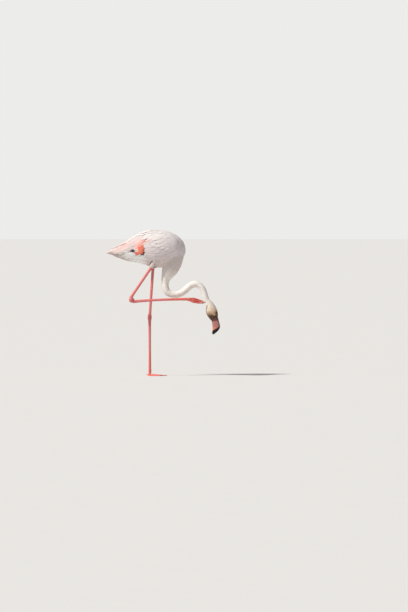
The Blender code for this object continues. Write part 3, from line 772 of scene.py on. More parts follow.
def spaced(points, gap):
    """Indexes of points that stay, none nearer to another than its own gap."""
    keys = np.floor(points / float(gap.max())).astype(int).tolist()
    near = list(product((-1, 0, 1), repeat=3))
    cells, kept = {}, []
    for n, ((u, v, w), (x, y, z), limit) in enumerate(zip(keys, points.tolist(), (gap**2).tolist())):
        around = [p for i, j, k in near for p in cells.get((u + i, v + j, w + k), ())]
        if all((a - x) ** 2 + (b - y) ** 2 + (c - z) ** 2 >= limit for a, b, c in around):
            cells.setdefault((u, v, w), []).append((x, y, z))
            kept.append(n)
    return np.array(kept)


def vane_outline(share, widest, tip):
    """A vane's half width along it: tip 2 is round, towards 1 it is pointed."""
    rise = VANE_ROOT + (1 - VANE_ROOT) * np.sin(np.clip(share / widest, 0, 1) * math.pi / 2)
    past = np.clip((share - widest) / (1 - widest), 0, 1)
    return np.where(share < widest, rise, (1 - past**tip) ** (1 / tip)) * 0.97 + 0.03


def both_sides(upper, lower=None):
    """The rows of a vane's points: its upper side's, then those inside its lower side."""
    lower = upper[:, 1:-1, 1:-1] if lower is None else lower
    return np.concatenate([side.reshape(len(upper), -1, upper.shape[-1]) for side in (upper, lower)], 1)


def vane_pattern(stations, across):
    """Faces of one thin closed vane, upper side first, and where each point is on it, from 0 to 1."""
    top = np.arange(stations * across).reshape(stations, across)
    low = top.copy()
    low[1:-1, 1:-1] = top.size + np.arange((stations - 2) * (across - 2)).reshape(stations - 2, across - 2)
    faces = []
    for grid, order in ((top, (0, 1, 2, 3)), (low, (0, 3, 2, 1))):
        corners = (grid[:-1, :-1], grid[:-1, 1:], grid[1:, 1:], grid[1:, :-1])
        faces.append(np.stack([corners[i] for i in order], -1).reshape(-1, 4))
    v, u = np.meshgrid(np.linspace(0, 1, stations), np.linspace(0, 1, across), indexing="ij")
    return np.concatenate(faces), both_sides(np.stack([u, v], -1)[None])[0]


class Coat:
    """Feathers of one piece, collected and then made into one mesh."""

    def __init__(self, name):
        self.name, self.parts, self.count = name, [], 0

    def grow(self, roots, ways, length, width, low, high, colour, patch, depth=None, stations=6, across=3,
             widest=0.55, tip=2.0, camber=0.03, thickness=0.0003, lift=0.0, tone=0.05, free=0.008,
             plateau=0.84, ragged=0.0, tilt=0.0, paint=None):
        """Adds a vane from each root along its way, following the skin between two heights over it.

        With a depth function, the heights are shares of the coat's depth where the vane passes.
        """
        count = len(roots)
        share = 1 - (1 - np.linspace(0, 1, stations)) ** STATION_POWER
        half = vane_outline(share, widest, tip)
        p, d, gone, rows = roots, unit(ways), np.zeros(count, bool), []
        for k in range(stations):
            place, n, far = GROUND.nearest(p)
            if k:
                gone = gone | (far > free)
                place, n = np.where(gone[:, None], p, place), np.where(gone[:, None], rows[-1][1], n)
            d = unit(d - n * (d * n).sum(-1, keepdims=True))
            rows.append((place, n, d, gone))
            if k + 1 < stations:
                p = place + d * (length * (share[k + 1] - share[k]))[:, None]
        spine, normals, directions, left = [np.stack(column, 1) for column in zip(*rows)]
        u = np.linspace(-1, 1, across)
        reach = (width / 2)[:, None, None] * half[None, :, None] * u
        if ragged:
            loss = ragged * np.abs(RANDOM.standard_normal((count, stations, 2)))
            loss = loss * (share > TORN_FROM)[:, None]
            reach = reach * (1 - np.where(u < 0, loss[..., :1], loss[..., 1:]))
        points = spine[:, :, None] + np.cross(normals, directions)[:, :, None] * reach[..., None]
        place, n, far = GROUND.nearest(points)
        loose = ((far > free) | left[:, :, None])[..., None]
        n = unit(np.where(loose, normals[:, :, None], n) + normals[:, :, None])
        place = np.where(loose, points, place)
        rise = plateau * np.sin(np.clip(share / RISEN_BY, 0, 1) * math.pi / 2) + (1 - plateau) * share
        height = low[:, None] + (high - low)[:, None] * rise[None]
        if depth is not None:
            height = height * depth(spine[..., 0])
        height = height + np.broadcast_to(lift, count)[:, None] * share**3
        drop = camber * (width / 2)[:, None, None] * half[None, :, None] * np.abs(u) ** 2 - tilt * reach
        top = place + n * (height[:, :, None] - drop)[..., None]
        verts = both_sides(top, (top - n * thickness)[:, 1:-1, 1:-1])
        quads, own = vane_pattern(stations, across)
        offsets = (self.count + np.arange(count) * len(own))[:, None, None]
        far_along = np.broadcast_to(length[:, None, None] * share[:, None], reach.shape)
        metres = both_sides(np.stack([0.5 + reach * VANE_SCALE, far_along * VANE_SCALE], -1))
        shade = 1 + tone * RANDOM.standard_normal(count)[:, None]
        made = np.broadcast_to(colour[:, None], verts.shape)
        if paint:
            made = paint(verts.reshape(-1, 3), made.reshape(-1, 3)).reshape(verts.shape)
        # painted shade towards each vane's root
        along = (1 - ROOT_SHADE + ROOT_SHADE * smooth(own[:, 1], 0.1, 0.8))[:, None]
        made = np.clip(made * shade[:, None], 0, 0.96) * along
        columns = (verts, quads + offsets, patch[:, None] + PATCH * (own - 0.5), metres, made)
        self.parts.append([values.reshape(-1, values.shape[-1]) for values in columns])
        self.count += count * len(own)

    def objects(self):
        """Makes the feathers into as few pieces as keep each under so many triangles."""
        groups, size = [[]], 0
        for part in self.parts:
            if size + len(part[1]) * 2 > MOST_TRIANGLES and groups[-1]:
                groups.append([])
                size = 0
            groups[-1].append(part)
            size += len(part[1]) * 2
        for number, group in enumerate(groups):
            name = self.name if len(groups) == 1 else f"{self.name}_{number + 1}"
            verts, quads, patches, metres, colours = map(np.concatenate, zip(*group))
            faces = quads - quads.min()
            mesh = new_mesh(name, verts, faces)
            for layer_name, values in (("OFBake", patches), ("Vane", metres)):
                layer = mesh.uv_layers.new(name=layer_name)
                layer.data.foreach_set("uv", values[faces.ravel()].astype(np.float32).ravel())
            add_colours(mesh, colours)
            mesh.set_sharp_from_angle(angle=math.radians(60))
            obj = add_object(name, mesh, PLUMAGE)
            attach(obj, BODY)


def add_colours(mesh, colours):
    layer = mesh.color_attributes.new("Coat", "FLOAT_COLOR", "POINT")
    full = np.concatenate([colours, np.ones((len(colours), 1))], 1).astype(np.float32)
    layer.data.foreach_set("color", full.ravel())


# ---------------------------------------------------------------- materials
TIP_BLUR = 0.0007  # half the width of the edge of the bill's black tip
BILL_BLACK = (0.0045, 0.0040, 0.0042, 1)


def new_material(name, roughness, specular=0.5):
    material = bpy.data.materials.new(name)
    material.use_nodes = True
    shader = material.node_tree.nodes["Principled BSDF"]
    fill(material.node_tree, shader, Roughness=roughness, Specular_IOR_Level=specular)
    return material, material.node_tree, shader


def fill(tree, made, **values):
    """Sets inputs of a node by name, and its own settings; a socket as a value is linked."""
    for key, value in values.items():
        key = int(key[1:]) if key[1:].isdigit() else key.replace("_", " ")
        if isinstance(key, str) and key not in made.inputs:
            setattr(made, key.replace(" ", "_"), value)
        elif isinstance(value, bpy.types.NodeSocket):
            tree.links.new(value, made.inputs[key])
        else:
            made.inputs[key].default_value = value


def node(tree, kind, output=0, **values):
    """One output of a new node."""
    made = tree.nodes.new("ShaderNode" + kind)
    fill(tree, made, **values)
    return made.outputs[output]


def maths(tree, operation, a, b=0.0):
    return node(tree, "Math", operation=operation, _0=a, _1=b)


def noise(tree, scale, detail=3.0):
    return node(tree, "TexNoise", Scale=scale, Detail=detail, Vector=node(tree, "TexCoord", "Object"))


def times(tree, colour, factor):
    """The colour times a number."""
    return node(tree, "VectorMath", operation="SCALE", _0=colour, Scale=factor)


def spread(tree, value, low, high, **values):
    return node(tree, "MapRange", To_Min=low, To_Max=high, Value=value, **values)


def bump(tree, shader, height, distance, strength):
    made = node(tree, "Bump", Distance=distance, Strength=strength, Height=height)
    tree.links.new(made, shader.inputs["Normal"])


def paint_base(tree, shader, factor):
    """Gives the shader the coat's own colour, times a factor."""
    coat = node(tree, "Attribute", "Color", attribute_name="Coat")
    tree.links.new(times(tree, coat, factor), shader.inputs["Base Color"])


def plumage_material():
    """Vanes: slanting barbs on both sides of a fine shaft, and a little mottling."""
    material, tree, shader = new_material("plumage", roughness=0.78, specular=0.25)
    fill(tree, shader, Sheen_Weight=0.12, Sheen_Roughness=0.6)
    split = node(tree, "SeparateXYZ", _0=node(tree, "UVMap", uv_map="Vane")).node
    off = maths(tree, "ABSOLUTE", maths(tree, "SUBTRACT", split.outputs["X"], 0.5))
    slant = maths(tree, "SUBTRACT", split.outputs["Y"], maths(tree, "MULTIPLY", off, BARB_SLANT))
    wave = maths(tree, "SINE", maths(tree, "MULTIPLY", slant, 2 * math.pi / (BARB * VANE_SCALE)))
    shaft = maths(tree, "LESS_THAN", off, SHAFT_HALF_WIDTH * VANE_SCALE)
    mottled = spread(tree, noise(tree, 260.0), 0.90, 1.06)
    value = maths(tree, "MULTIPLY", mottled, spread(tree, wave, 0.965, 1.0))
    dim = maths(tree, "SUBTRACT", 1.0, maths(tree, "MULTIPLY", shaft, 0.05))
    paint_base(tree, shader, maths(tree, "MULTIPLY", value, dim))
    height = maths(tree, "ADD", wave, maths(tree, "MULTIPLY", shaft, 2.0))
    bump(tree, shader, height, distance=0.00005, strength=0.35)
    return material


def skin_material():
    """Skin under the coat, with a pimpled grain where it is bare."""
    material, tree, shader = new_material("skin", roughness=0.62, specular=0.35)
    paint_base(tree, shader, spread(tree, noise(tree, 420.0), 0.86, 1.08))
    cells = node(tree, "TexVoronoi", "Distance", Scale=900.0, Vector=node(tree, "TexCoord", "Object"))
    bump(tree, shader, cells, distance=0.00025, strength=0.5)
    return material


def leg_material():
    """Bare legs and webs: rows of small plates, darker in their seams."""
    material, tree, shader = new_material("leg", roughness=0.46, specular=0.45)
    place = node(tree, "Mapping", Scale=(1.0, 1.0, 1.6), Vector=node(tree, "TexCoord", "Object"))
    cells = node(tree, "TexVoronoi", "Distance", feature="DISTANCE_TO_EDGE", Scale=330.0, Vector=place)
    seam = spread(tree, cells, 0.80, 1.02, From_Max=0.12)
    paint_base(tree, shader, maths(tree, "MULTIPLY", seam, spread(tree, noise(tree, 60.0, 4.0), 0.84, 1.14)))
    fill(tree, shader, Subsurface_Weight=0.06, Subsurface_Radius=(0.004, 0.0015, 0.001))
    bump(tree, shader, seam, distance=0.0005, strength=0.6)
    return material


def bill_material():
    """Horn of the bill: fine growth lines, a soft polish, and a black tip with an uneven edge."""
    material, tree, shader = new_material("bill", roughness=0.36, specular=0.22)
    value = spread(tree, noise(tree, 180.0, 5.0), 0.88, 1.10)
    tip = node(tree, "Attribute", "Fac", attribute_name="Tip")
    edge = maths(tree, "ADD", tip, spread(tree, noise(tree, 240.0, 2.0), -TIP_BLUR, TIP_BLUR))
    black = spread(tree, edge, 0.0, 1.0, interpolation_type="SMOOTHSTEP",
                   From_Min=-TIP_BLUR, From_Max=TIP_BLUR)
    horn = times(tree, node(tree, "Attribute", "Color", attribute_name="Coat"), value)
    fill(tree, shader, Base_Color=node(tree, "Mix", 2, data_type="RGBA", _0=black, _6=horn, _7=BILL_BLACK),
         Coat_Weight=0.05, Coat_Roughness=0.30)
    bump(tree, shader, noise(tree, 500.0, 2.0), distance=0.00020, strength=0.5)
    return material


def plain_material(name, colour, roughness, scale, low=0.85, high=1.1, depth=0.0002, coat=False):
    """One colour with its own mottling and grain, and a clear wet coat if asked for."""
    material, tree, shader = new_material(name, roughness)
    dark, light = (*[c * low for c in colour], 1), (*[min(c * high, 1) for c in colour], 1)
    base = node(tree, "Mix", 2, data_type="RGBA", _0=noise(tree, scale), _6=dark, _7=light)
    tree.links.new(base, shader.inputs["Base Color"])
    bump(tree, shader, noise(tree, scale * 3), depth, strength=0.5)
    if coat:
        fill(tree, shader, Coat_Weight=1.0, Coat_Roughness=0.03)
    return material


PLUMAGE, SKIN, LEGS, HORN = plumage_material(), skin_material(), leg_material(), bill_material()

# ---------------------------------------------------------------- the skin
TRUNK, NECKED = trunk_mesh(), neck_mesh()
GROUND = Skin([TRUNK, NECKED])
LIDS = [lid_mesh(sign) for sign in SIDES.values()]
BARE = {side: leg_mesh(side) for side in SIDES}

LEG_PINK = np.array([0.72, 0.195, 0.190])
LEG_JOINT = np.array([0.50, 0.105, 0.105])
FOOT_RED = np.array([0.74, 0.150, 0.115])
LID_PINK = np.array([0.42, 0.245, 0.205])
# painted shade on the bare lores towards the bill
LORE_SHADE = np.array([0.080, 0.048, 0.038])
ANKLE_SPREAD = 0.020  # how far the ankle's darker pink reaches
FOOT_REACH, FOOT_FADE = 0.09, 0.04  # how far up from the toes the leg is red, and how far that takes to fade
# where the painted shade of the lores starts and ends
LORE_START, LORE_END = 0.1045, 0.1085  # along the head, where the skin darkens towards the bill
LID_REACH, LID_FADE = 0.0095, 0.002  # how far from the eye's middle the skin has the lids' colour


def leg_colours(mesh, side):
    p = vertices(mesh)
    colour = np.tile(LEG_PINK, (len(p), 1))
    past_foot = np.maximum(far_from(p, LEG[side][4]) - FOOT_REACH, 0)
    colour = mixed(colour, FOOT_RED, 0.9 * bell(past_foot, 0, FOOT_FADE))
    return mixed(colour, LEG_JOINT, 0.6 * bell(far_from(p, LEG[side][2]), 0, ANKLE_SPREAD))


def neck_colours(mesh):
    p = vertices(mesh)
    along, up, _ = head_coordinates(p)
    head = (along > -0.004) & (p[:, 0] > 0.30)
    colour = np.where(head[:, None], markings(p, "head"), markings(p, "neck"))
    from_eye = np.hypot(along - EYE_ALONG, up - EYE_UP)
    # painted shade on the bare skin towards the bill
    colour = mixed(colour, LORE_SHADE, 0.9 * head * smooth(along, LORE_START, LORE_END))
    return mixed(colour, LID_PINK, 0.9 * head * smooth(LID_REACH - from_eye, 0.0, LID_FADE))


parts = [
    (TRUNK, markings(vertices(TRUNK), "trunk"), 0),
    (NECKED, neck_colours(NECKED), 0),
    *[(mesh, np.tile(LID_PINK, (len(mesh.vertices), 1)), 0) for mesh in LIDS],
    *[(mesh, leg_colours(mesh, side), 1) for side, mesh in BARE.items()],
]
for mesh, colours, index in parts:
    add_colours(mesh, colours)
    mesh.materials.clear()
    mesh.materials.append(SKIN)
    mesh.materials.append(LEGS)
    mesh.polygons.foreach_set("material_index", np.full(len(mesh.polygons), index, np.int32))
skin = add_object("skin", softened(joined("skin", [mesh for mesh, _, _ in parts])), SKIN)
skin.data.materials.append(LEGS)
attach(skin, BODY)
FLESH = ["trunk", "tail", "wing_left", "wing_right", "neck_root", "neck_fold", "neck_rise", "neck_arch"]
FLESH += ["neck_nape", "head"]
FLESH += [f"{part}_{side}" for part in ("thigh", "shank", "ankle", "tarsus", "foot") for side in SIDES]
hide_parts(*FLESH)

# ---------------------------------------------------------------- the coat: roots, flow and unwrap
NECK_BASE = np.array([0.112, 0.0, 0.605])
TURN_START, TURN_END = 0.10, 0.23  # how far from the neck the lie turns from outwards to backwards
TRUNK_PATCH = (0.02, 0.02, 0.62)  # where the trunk's unwrap starts, and how high it is
THIGH_PATCH = {"left": 0.02, "right": 0.52}  # where each thigh's unwrap starts
THIGH_WIDTH, THIGH_LOW, THIGH_HIGH = 0.4, 0.90, 0.08  # its width, its lower edge and its height
THIGH_SINK = 0.004  # how far inside the thigh's outline its roots are sought, and how far off they may be
CHUNK = 1200  # feathers handled at a time
EYE_RING = 0.0078  # the bare skin round the eye, from its middle
LORE_HALF, LORE_SPREAD = 0.0024, 0.10  # the bare lores' half height at the eye, and how it grows forwards


def trunk_flow(p):
    """The lie of the body's feathers: up and round from the neck, then back to the tail."""
    away = unit(p - NECK_BASE)
    sink = -0.10 - 0.42 * smooth(np.abs(p[:, 1]), 0.02, 0.05) * smooth(p[:, 0], -0.08, 0.04)
    back = np.stack([-np.ones(len(p)), np.zeros(len(p)), sink], -1)
    far = smooth(far_from(p, NECK_BASE) + 0.9 * np.abs(p[:, 1]), TURN_START, TURN_END)
    return unit(away * (1 - far[:, None]) + back * far[:, None])


def trunk_patch(x, turn):
    left, low, high = TRUNK_PATCH
    return np.stack([left + (x - SKIN_END_X) * BODY_SCALE, low + turn / 360 * high], -1)


def place_turn(p):
    """The angle round the trunk of places on it."""
    low, high, _ = body_outline(p[:, 0])
    return np.degrees(np.arctan2(p[:, 2] - (low + high) / 2, p[:, 1])) % 360


def everywhere(p, at, turn):
    return np.ones(len(p), bool)


def settled(surface, at, turn, reach, gap, keep=everywhere):
    """Places on the skin near points of a surface, where keep says so, with gaps between them, in order."""
    p = surface(at, turn)
    place, _, far = GROUND.nearest(p)
    good = (far < reach) & keep(p, at, turn)
    at, turn, place = at[good], turn[good], place[good]
    kept = spaced(place, np.broadcast_to(gap(at), len(at)))
    kept = kept[np.argsort(at[kept])]
    return place[kept], at[kept], turn[kept]


def trunk_roots(count, gap, keep):
    """Evenly spread roots on the trunk, where keep says so, with their places on its unwrap."""
    x = RANDOM.uniform(SKIN_END_X + 0.004, BREAST_X, count * 2)
    round_front = CREST_X + (BREAST_X - CREST_X) * np.sin(np.arccos(RANDOM.uniform(0, 1, count)))
    x = np.concatenate([x, round_front])
    turn = RANDOM.uniform(0, 360, count * 3)
    rim = np.where(x > 0.17, 1.0, np.clip(body_outline(x)[2] / TRUNK_HALF_WIDTH, 0.15, 1))
    stay = RANDOM.uniform(0, 1, count * 3) < rim
    place, x, turn = settled(trunk_skin, x[stay], turn[stay], 0.006, lambda x: gap, keep)
    return place, x, turn, trunk_patch(x, turn)


def neck_roots(count, gap):
    """Roots along the neck by the index of NECK, with their ways towards the body."""
    at = np.concatenate([RANDOM.uniform(0.3, 5.0, count // 2), RANDOM.uniform(5.0, NECK_END, count)])
    turn = RANDOM.uniform(0, 360, len(at))
    place, at, turn = settled(neck_skin, at, turn, np.where(at < 5, 0.006, 0.003), gap)
    patch = np.stack([0.02 + at / 21 * 0.94, 0.68 + turn / 360 * 0.16], -1)
    return place, -neck_frames(at)[4], at, patch


def feathered(p, along, turn):
    """Which places on the head are outside the rings round the eyes and the bare lores."""
    a, up, side = head_coordinates(p)
    ahead, above = a - EYE_ALONG, up - EYE_UP
    lore = (ahead > 0) & (np.abs(above) < LORE_HALF + LORE_SPREAD * ahead) & (np.abs(side) > 0.006)
    return (np.hypot(ahead, above) > EYE_RING) & ~lore


def head_roots(count, gap):
    """Roots on the head, with ways to the nape that part round the eyes."""
    along = RANDOM.uniform(0.0, HEAD_LENGTH - 0.0006, count)
    turn = RANDOM.uniform(0, 360, count)
    place, along, turn = settled(head_skin, along, turn, np.inf, gap, feathered)
    a, up, _ = head_coordinates(place)
    ahead, above = a - EYE_ALONG, up - EYE_UP
    reach = np.hypot(ahead, above)
    near = np.exp(-(np.maximum(reach - EYE_RADIUS, 0) / 0.005) ** 2) * smooth(ahead, -0.004, 0.002)
    round_eye = np.outer(-np.abs(above) / reach, HEAD_AXIS)
    round_eye += np.outer(ahead * np.sign(above) / reach, HEAD_UP)
    way = unit(-np.array(HEAD_AXIS) * (1 - near[:, None]) + round_eye * near[:, None])
    return place, way, along, np.stack([0.60 + along * HEAD_SCALE, 0.02 + turn / 360 * 0.60], -1)


def thigh_line(side):
    """Where a thigh starts, what leads from there to its end, and its direction."""
    root = np.array(THIGH_ROOT[side])
    whole = np.array(LEG[side][0]) - root
    return root, whole, unit(whole)


def thigh_place(side, p):
    """How far down a thigh points are, from 0 to 1, and how far from its middle."""
    root, whole, axis = thigh_line(side)
    along = ((p - root) * axis).sum(-1)
    away = far_from(p - root, along[:, None] * axis)
    return np.clip(along / np.linalg.norm(whole), 0, 1), away


def thigh_roots(side, count, gap):
    """Roots round a thigh, their ways down the leg, and how far down they are, from 0 to 1."""
    share = RANDOM.uniform(-0.05, 0.96, count)
    turn = RANDOM.uniform(0, 2 * math.pi, count)
    root, whole, axis = thigh_line(side)
    across, wide = crossed(axis)
    radius = spline(THIGH_RADII)(np.clip(share, 0, 1))[:, 0] - THIGH_SINK
    around = np.cos(turn)[:, None] * wide + np.sin(turn)[:, None] * across
    place, _, far = GROUND.nearest(root + whole * share[:, None] + radius[:, None] * around)
    good = np.nonzero(far < THIGH_SINK)[0]
    good = good[spaced(place[good], np.full(len(good), gap))]
    across_patch = THIGH_PATCH[side] + turn[good] / (2 * math.pi) * THIGH_WIDTH
    patch = np.stack([across_patch, THIGH_LOW + share[good] * THIGH_HIGH], -1)
    return place[good], np.tile(axis, (len(good), 1)), np.maximum(share[good], 0), patch


def yawed(ways, normals, degrees):
    """The ways turned a little about the normals, each by its own amount."""
    ways = unit(ways - normals * (ways * normals).sum(-1, keepdims=True))
    a = np.radians(degrees)[:, None]
    return unit(ways * np.cos(a) + np.cross(normals, ways) * np.sin(a))


def grow_all(coat, place, way, sizes, colour, patch, yaw, low, depth=None, **look):
    """Grows many vanes a part at a time, so that the coat can be split into pieces.

    The sizes are the length, width and height: each a value, the share it varies by and a factor.
    The ways turn by some degrees of yaw at random, and the roots lie at the low height.
    """
    count = len(place)
    way = yawed(way, GROUND.nearest(place)[1], RANDOM.normal(0, yaw, count))
    length, width, top = [value * (1 + vary * RANDOM.uniform(-1, 1, count)) * by for value, vary, by in sizes]
    low = np.broadcast_to(low, count)
    for i in range(0, count, CHUNK):
        j = slice(i, i + CHUNK)
        coat.grow(place[j], way[j], length[j], width[j], low[j], top[j], colour[j], patch[j], depth, **look)


def under_wing(x, degrees):
    """1 where the folded wing lies over the body's own feathers."""
    share = wing_share(x, degrees)
    return smooth(share, 0.02, 0.16) * smooth(1 - share, 0.02, 0.16) * smooth(WING_FRONT_X - x, 0.0, 0.03)


def off_thighs(p, x, degrees, inset=0.004):
    """Which places aren't on a thigh, or are less than the inset inside it."""
    free = np.ones(len(p), bool)
    for side in SIDES:
        share, away = thigh_place(side, p)
        free &= (away > spline(THIGH_RADII)(share)[:, 0] - inset) | (share <= 0.42)
    return free


THIGH_FILL = (0.008, 0, 0.012)  # from a thigh's end to the middle of what small feathers fill there
FILL_REACH = 0.050


def near_thighs(p):
    """1 beside the end of a thigh, falling to 0 away from it."""
    near = np.zeros(len(p))
    for side in SIDES:
        from_end = p - np.array(LEG[side][0])
        near = np.maximum(near, bell(far_from(from_end, THIGH_FILL), 0, FILL_REACH))
    return near


def beside_thighs(p, x, degrees):
    """Where small feathers fill the coat round the thighs' ends."""
    return off_thighs(p, x, degrees, inset=0.010) & (near_thighs(p) > 0.22)


def wing_border(p, x, degrees):
    """Where small feathers lie over the roots of the wing's large ones."""
    share = wing_share(x, degrees)
    above = (share > -0.14) & (share < 0.05 + 0.11 * smooth(x, -0.05, 0.0) + 0.9 * smooth(x, 0.06, 0.13))
    front = (x > 0.112) & (x < 0.19) & (share < 1.2) & (share > -0.1)
    return (above & (x > -0.165)) | front


# ---------------------------------------------------------------- the small feathers
body_coat = Coat("coat_body")
place, x, turn, patch = trunk_roots(60000, 0.0066, off_thighs)
size = 0.80 + 0.40 * smooth(0.15 - x, 0, 0.15) - 0.40 * smooth(-0.12 - x, 0, 0.08)
size = size * (1 - 0.68 * near_thighs(place))
top = 1.0 - 0.54 * under_wing(x, turn) * smooth(0.13 - x, 0, 0.05)
sizes = ((0.040, 0.12, size), (0.0185, 0.12, size), (0.94, 0.03, top))
grow_all(body_coat, place, trunk_flow(place), sizes, markings(place, "trunk"), patch, yaw=4, low=0.03,
         depth=coat_depth, stations=8, across=5, widest=0.62, tip=2.1, tone=0.03)
place, _, _, patch = trunk_roots(90000, 0.0036, beside_thighs)
sizes = ((0.018, 0.12, 1), (0.0080, 0.12, 1), (0.86, 0.03, 1))
grow_all(body_coat, place, trunk_flow(place), sizes, markings(place, "trunk"), patch, yaw=5, low=0.03,
         depth=coat_depth, tone=0.03)
body_coat.objects()

mantle = Coat("coat_mantle")
place, x, _, patch = trunk_roots(30000, 0.0090, wing_border)
sizes = ((0.044, 0.12, 1), (0.0195, 0.12, 1), (1.0, 0.02, 0.88 + 0.17 * smooth(x, -0.01, 0.07)))
grow_all(mantle, place, trunk_flow(place), sizes, markings(place, "trunk"), patch, yaw=4, low=0.30,
         depth=coat_depth, stations=9, across=5, widest=0.6, tone=0.02, ragged=0.02)
mantle.objects()

neck_coat = Coat("coat_neck")
place, way, at, patch = neck_roots(90000, lambda at: 0.0022 + 0.0030 * (1 - smooth(at, 2, 6.5)))
at_root = 1 - smooth(at, 2.0, 6.5)
wide = 0.0048 + 0.0085 * at_root
sizes = ((0.0165, 0.12, 1 + 1.25 * at_root), (1.0, 0.12, wide), (0.95, 0.03, NECK_DEPTH(at)[:, 0]))
tint = mixed(markings(place, "neck"), markings(place, "trunk"), 1 - smooth(at, 2.0, 4.5))
grow_all(neck_coat, place, way, sizes, tint, patch, yaw=4, low=0.0002, widest=0.50, tip=1.6, tone=0.025,
         plateau=0.9)
neck_coat.objects()

head_coat = Coat("coat_head")
place, way, along, patch = head_roots(50000, lambda along: 0.0023 - 0.0009 * smooth(along, 0.02, 0.10))
small = 1 - 0.50 * smooth(along, 0.01, 0.10)
low = 0.0001 + 0.0008 * (1 - smooth(along, 0.098, 0.112))
sizes = ((0.0132, 0.12, small), (0.0056, 0.12, small), (0.88, 0.04, HEAD_DEPTH(along)[:, 0]))
grow_all(head_coat, place, way, sizes, markings(place, "head"), patch, yaw=5, low=low, stations=5,
         widest=0.40, tip=1.9, tone=0.03, camber=0.0, thickness=0.0002, plateau=0.75)
head_coat.objects()

THIGH_SWEEP = np.array([-0.35, 0, 0])  # bends the feathers' way backwards
thigh_coat = Coat("coat_thighs")
for side in SIDES:
    place, way, share, patch = thigh_roots(side, 9000, 0.0034)
    # painted shade: the thighs darker, as under the belly
    colour = mixed(mixed(markings(place, "trunk"), UNDERSIDE_SHADE, np.full(len(place), 0.75)), PINK, 0.15 * share)
    sizes = ((0.019, 0.12, 1 - 0.45 * share), (0.0080, 0.12, 1 - 0.4 * share),
             (0.0034, 0.06, 1 - 0.35 * share))
    grow_all(thigh_coat, place, unit(way + THIGH_SWEEP), sizes, colour, patch, yaw=5, low=0.0004,
             stations=7, widest=0.45, tip=1.8, tone=0.025, camber=0.0, free=0.004)
thigh_coat.objects()

# ---------------------------------------------------------------- wings, tail and down
COVERT = np.array([0.93, 0.185, 0.095])
LONG_COVERTS = (0.92, 0.90, 0.74, 0.14, 0.10, 0.24, 0.60, 0.42, 0.55, 0.34, 0.22)  # how red, from the lowest
SHORT_COVERTS = (0.92, 0.78, 0.98, 0.88, 1.0, 1.0, 0.74, 0.60, 0.68, 0.45)
QUILL = np.array([0.022, 0.018, 0.022])
DOWN = np.array([0.96, 0.945, 0.93])
BIG = dict(stations=18, across=7, widest=0.42, tip=1.5, thickness=0.00035, ragged=0.045, tone=0.02,
           plateau=0.86, free=0.003)
ROUND = {**BIG, "tip": 2.0, "widest": 0.6}
SHIFT, TURN, GROWTH = 0.0022, 2.2, 0.06  # how much large vanes vary in place, degrees and share of length
# how far forwards the rearmost shoulder feathers stand, by their number from the lowest
WING_EDGE_CURVE = ((0, 3, 5, 7, 9, 10, 11), (0.002, 0.005, 0.010, 0.014, 0.017, 0.010, 0))
BLACK = {"low": 0.45, "jitter": 0.3, **BIG}  # the quills' tips that show at the wing's edge


def between(first, last, count):
    """Rows of numbers from the first to the last."""
    t = np.linspace(0, 1, count)[:, None]
    return np.array(first) * (1 - t) + np.array(last) * t


def side_feathers(coat, rows, colour, sign, low=0.55, jitter=1.0, **look):
    """Grows large vanes given as x, z, degrees below level, length, width and top, as seen from the side."""
    rows = rows.copy()
    count = len(rows)
    rows[:, 0:2] += RANDOM.uniform(-SHIFT, SHIFT, (count, 2)) * jitter
    rows[:, 2] += RANDOM.uniform(-TURN, TURN, count) * jitter
    rows[:, 3] *= 1 + GROWTH * RANDOM.uniform(-1, 1, count) * jitter
    place, n = GROUND.beside(rows[:, 0], rows[:, 1], sign)
    a = np.radians(rows[:, 2])
    way = np.stack([-np.cos(a), 0 * a, -np.sin(a)], -1)
    way = unit(way - n * (way * n).sum(-1, keepdims=True))
    coat.grow(place, way, rows[:, 3], rows[:, 4], np.full(count, low), rows[:, 5],
              np.broadcast_to(colour, (count, 3)), trunk_patch(place[:, 0], place_turn(place)),
              coat_depth, **look)


def seen_markings(rows, ahead, above):
    """The trunk's colour a little behind and below the roots of large vanes."""
    return markings(np.stack([rows[:, 0] - ahead, np.full(len(rows), 0.05), rows[:, 1] - above], -1), "trunk")


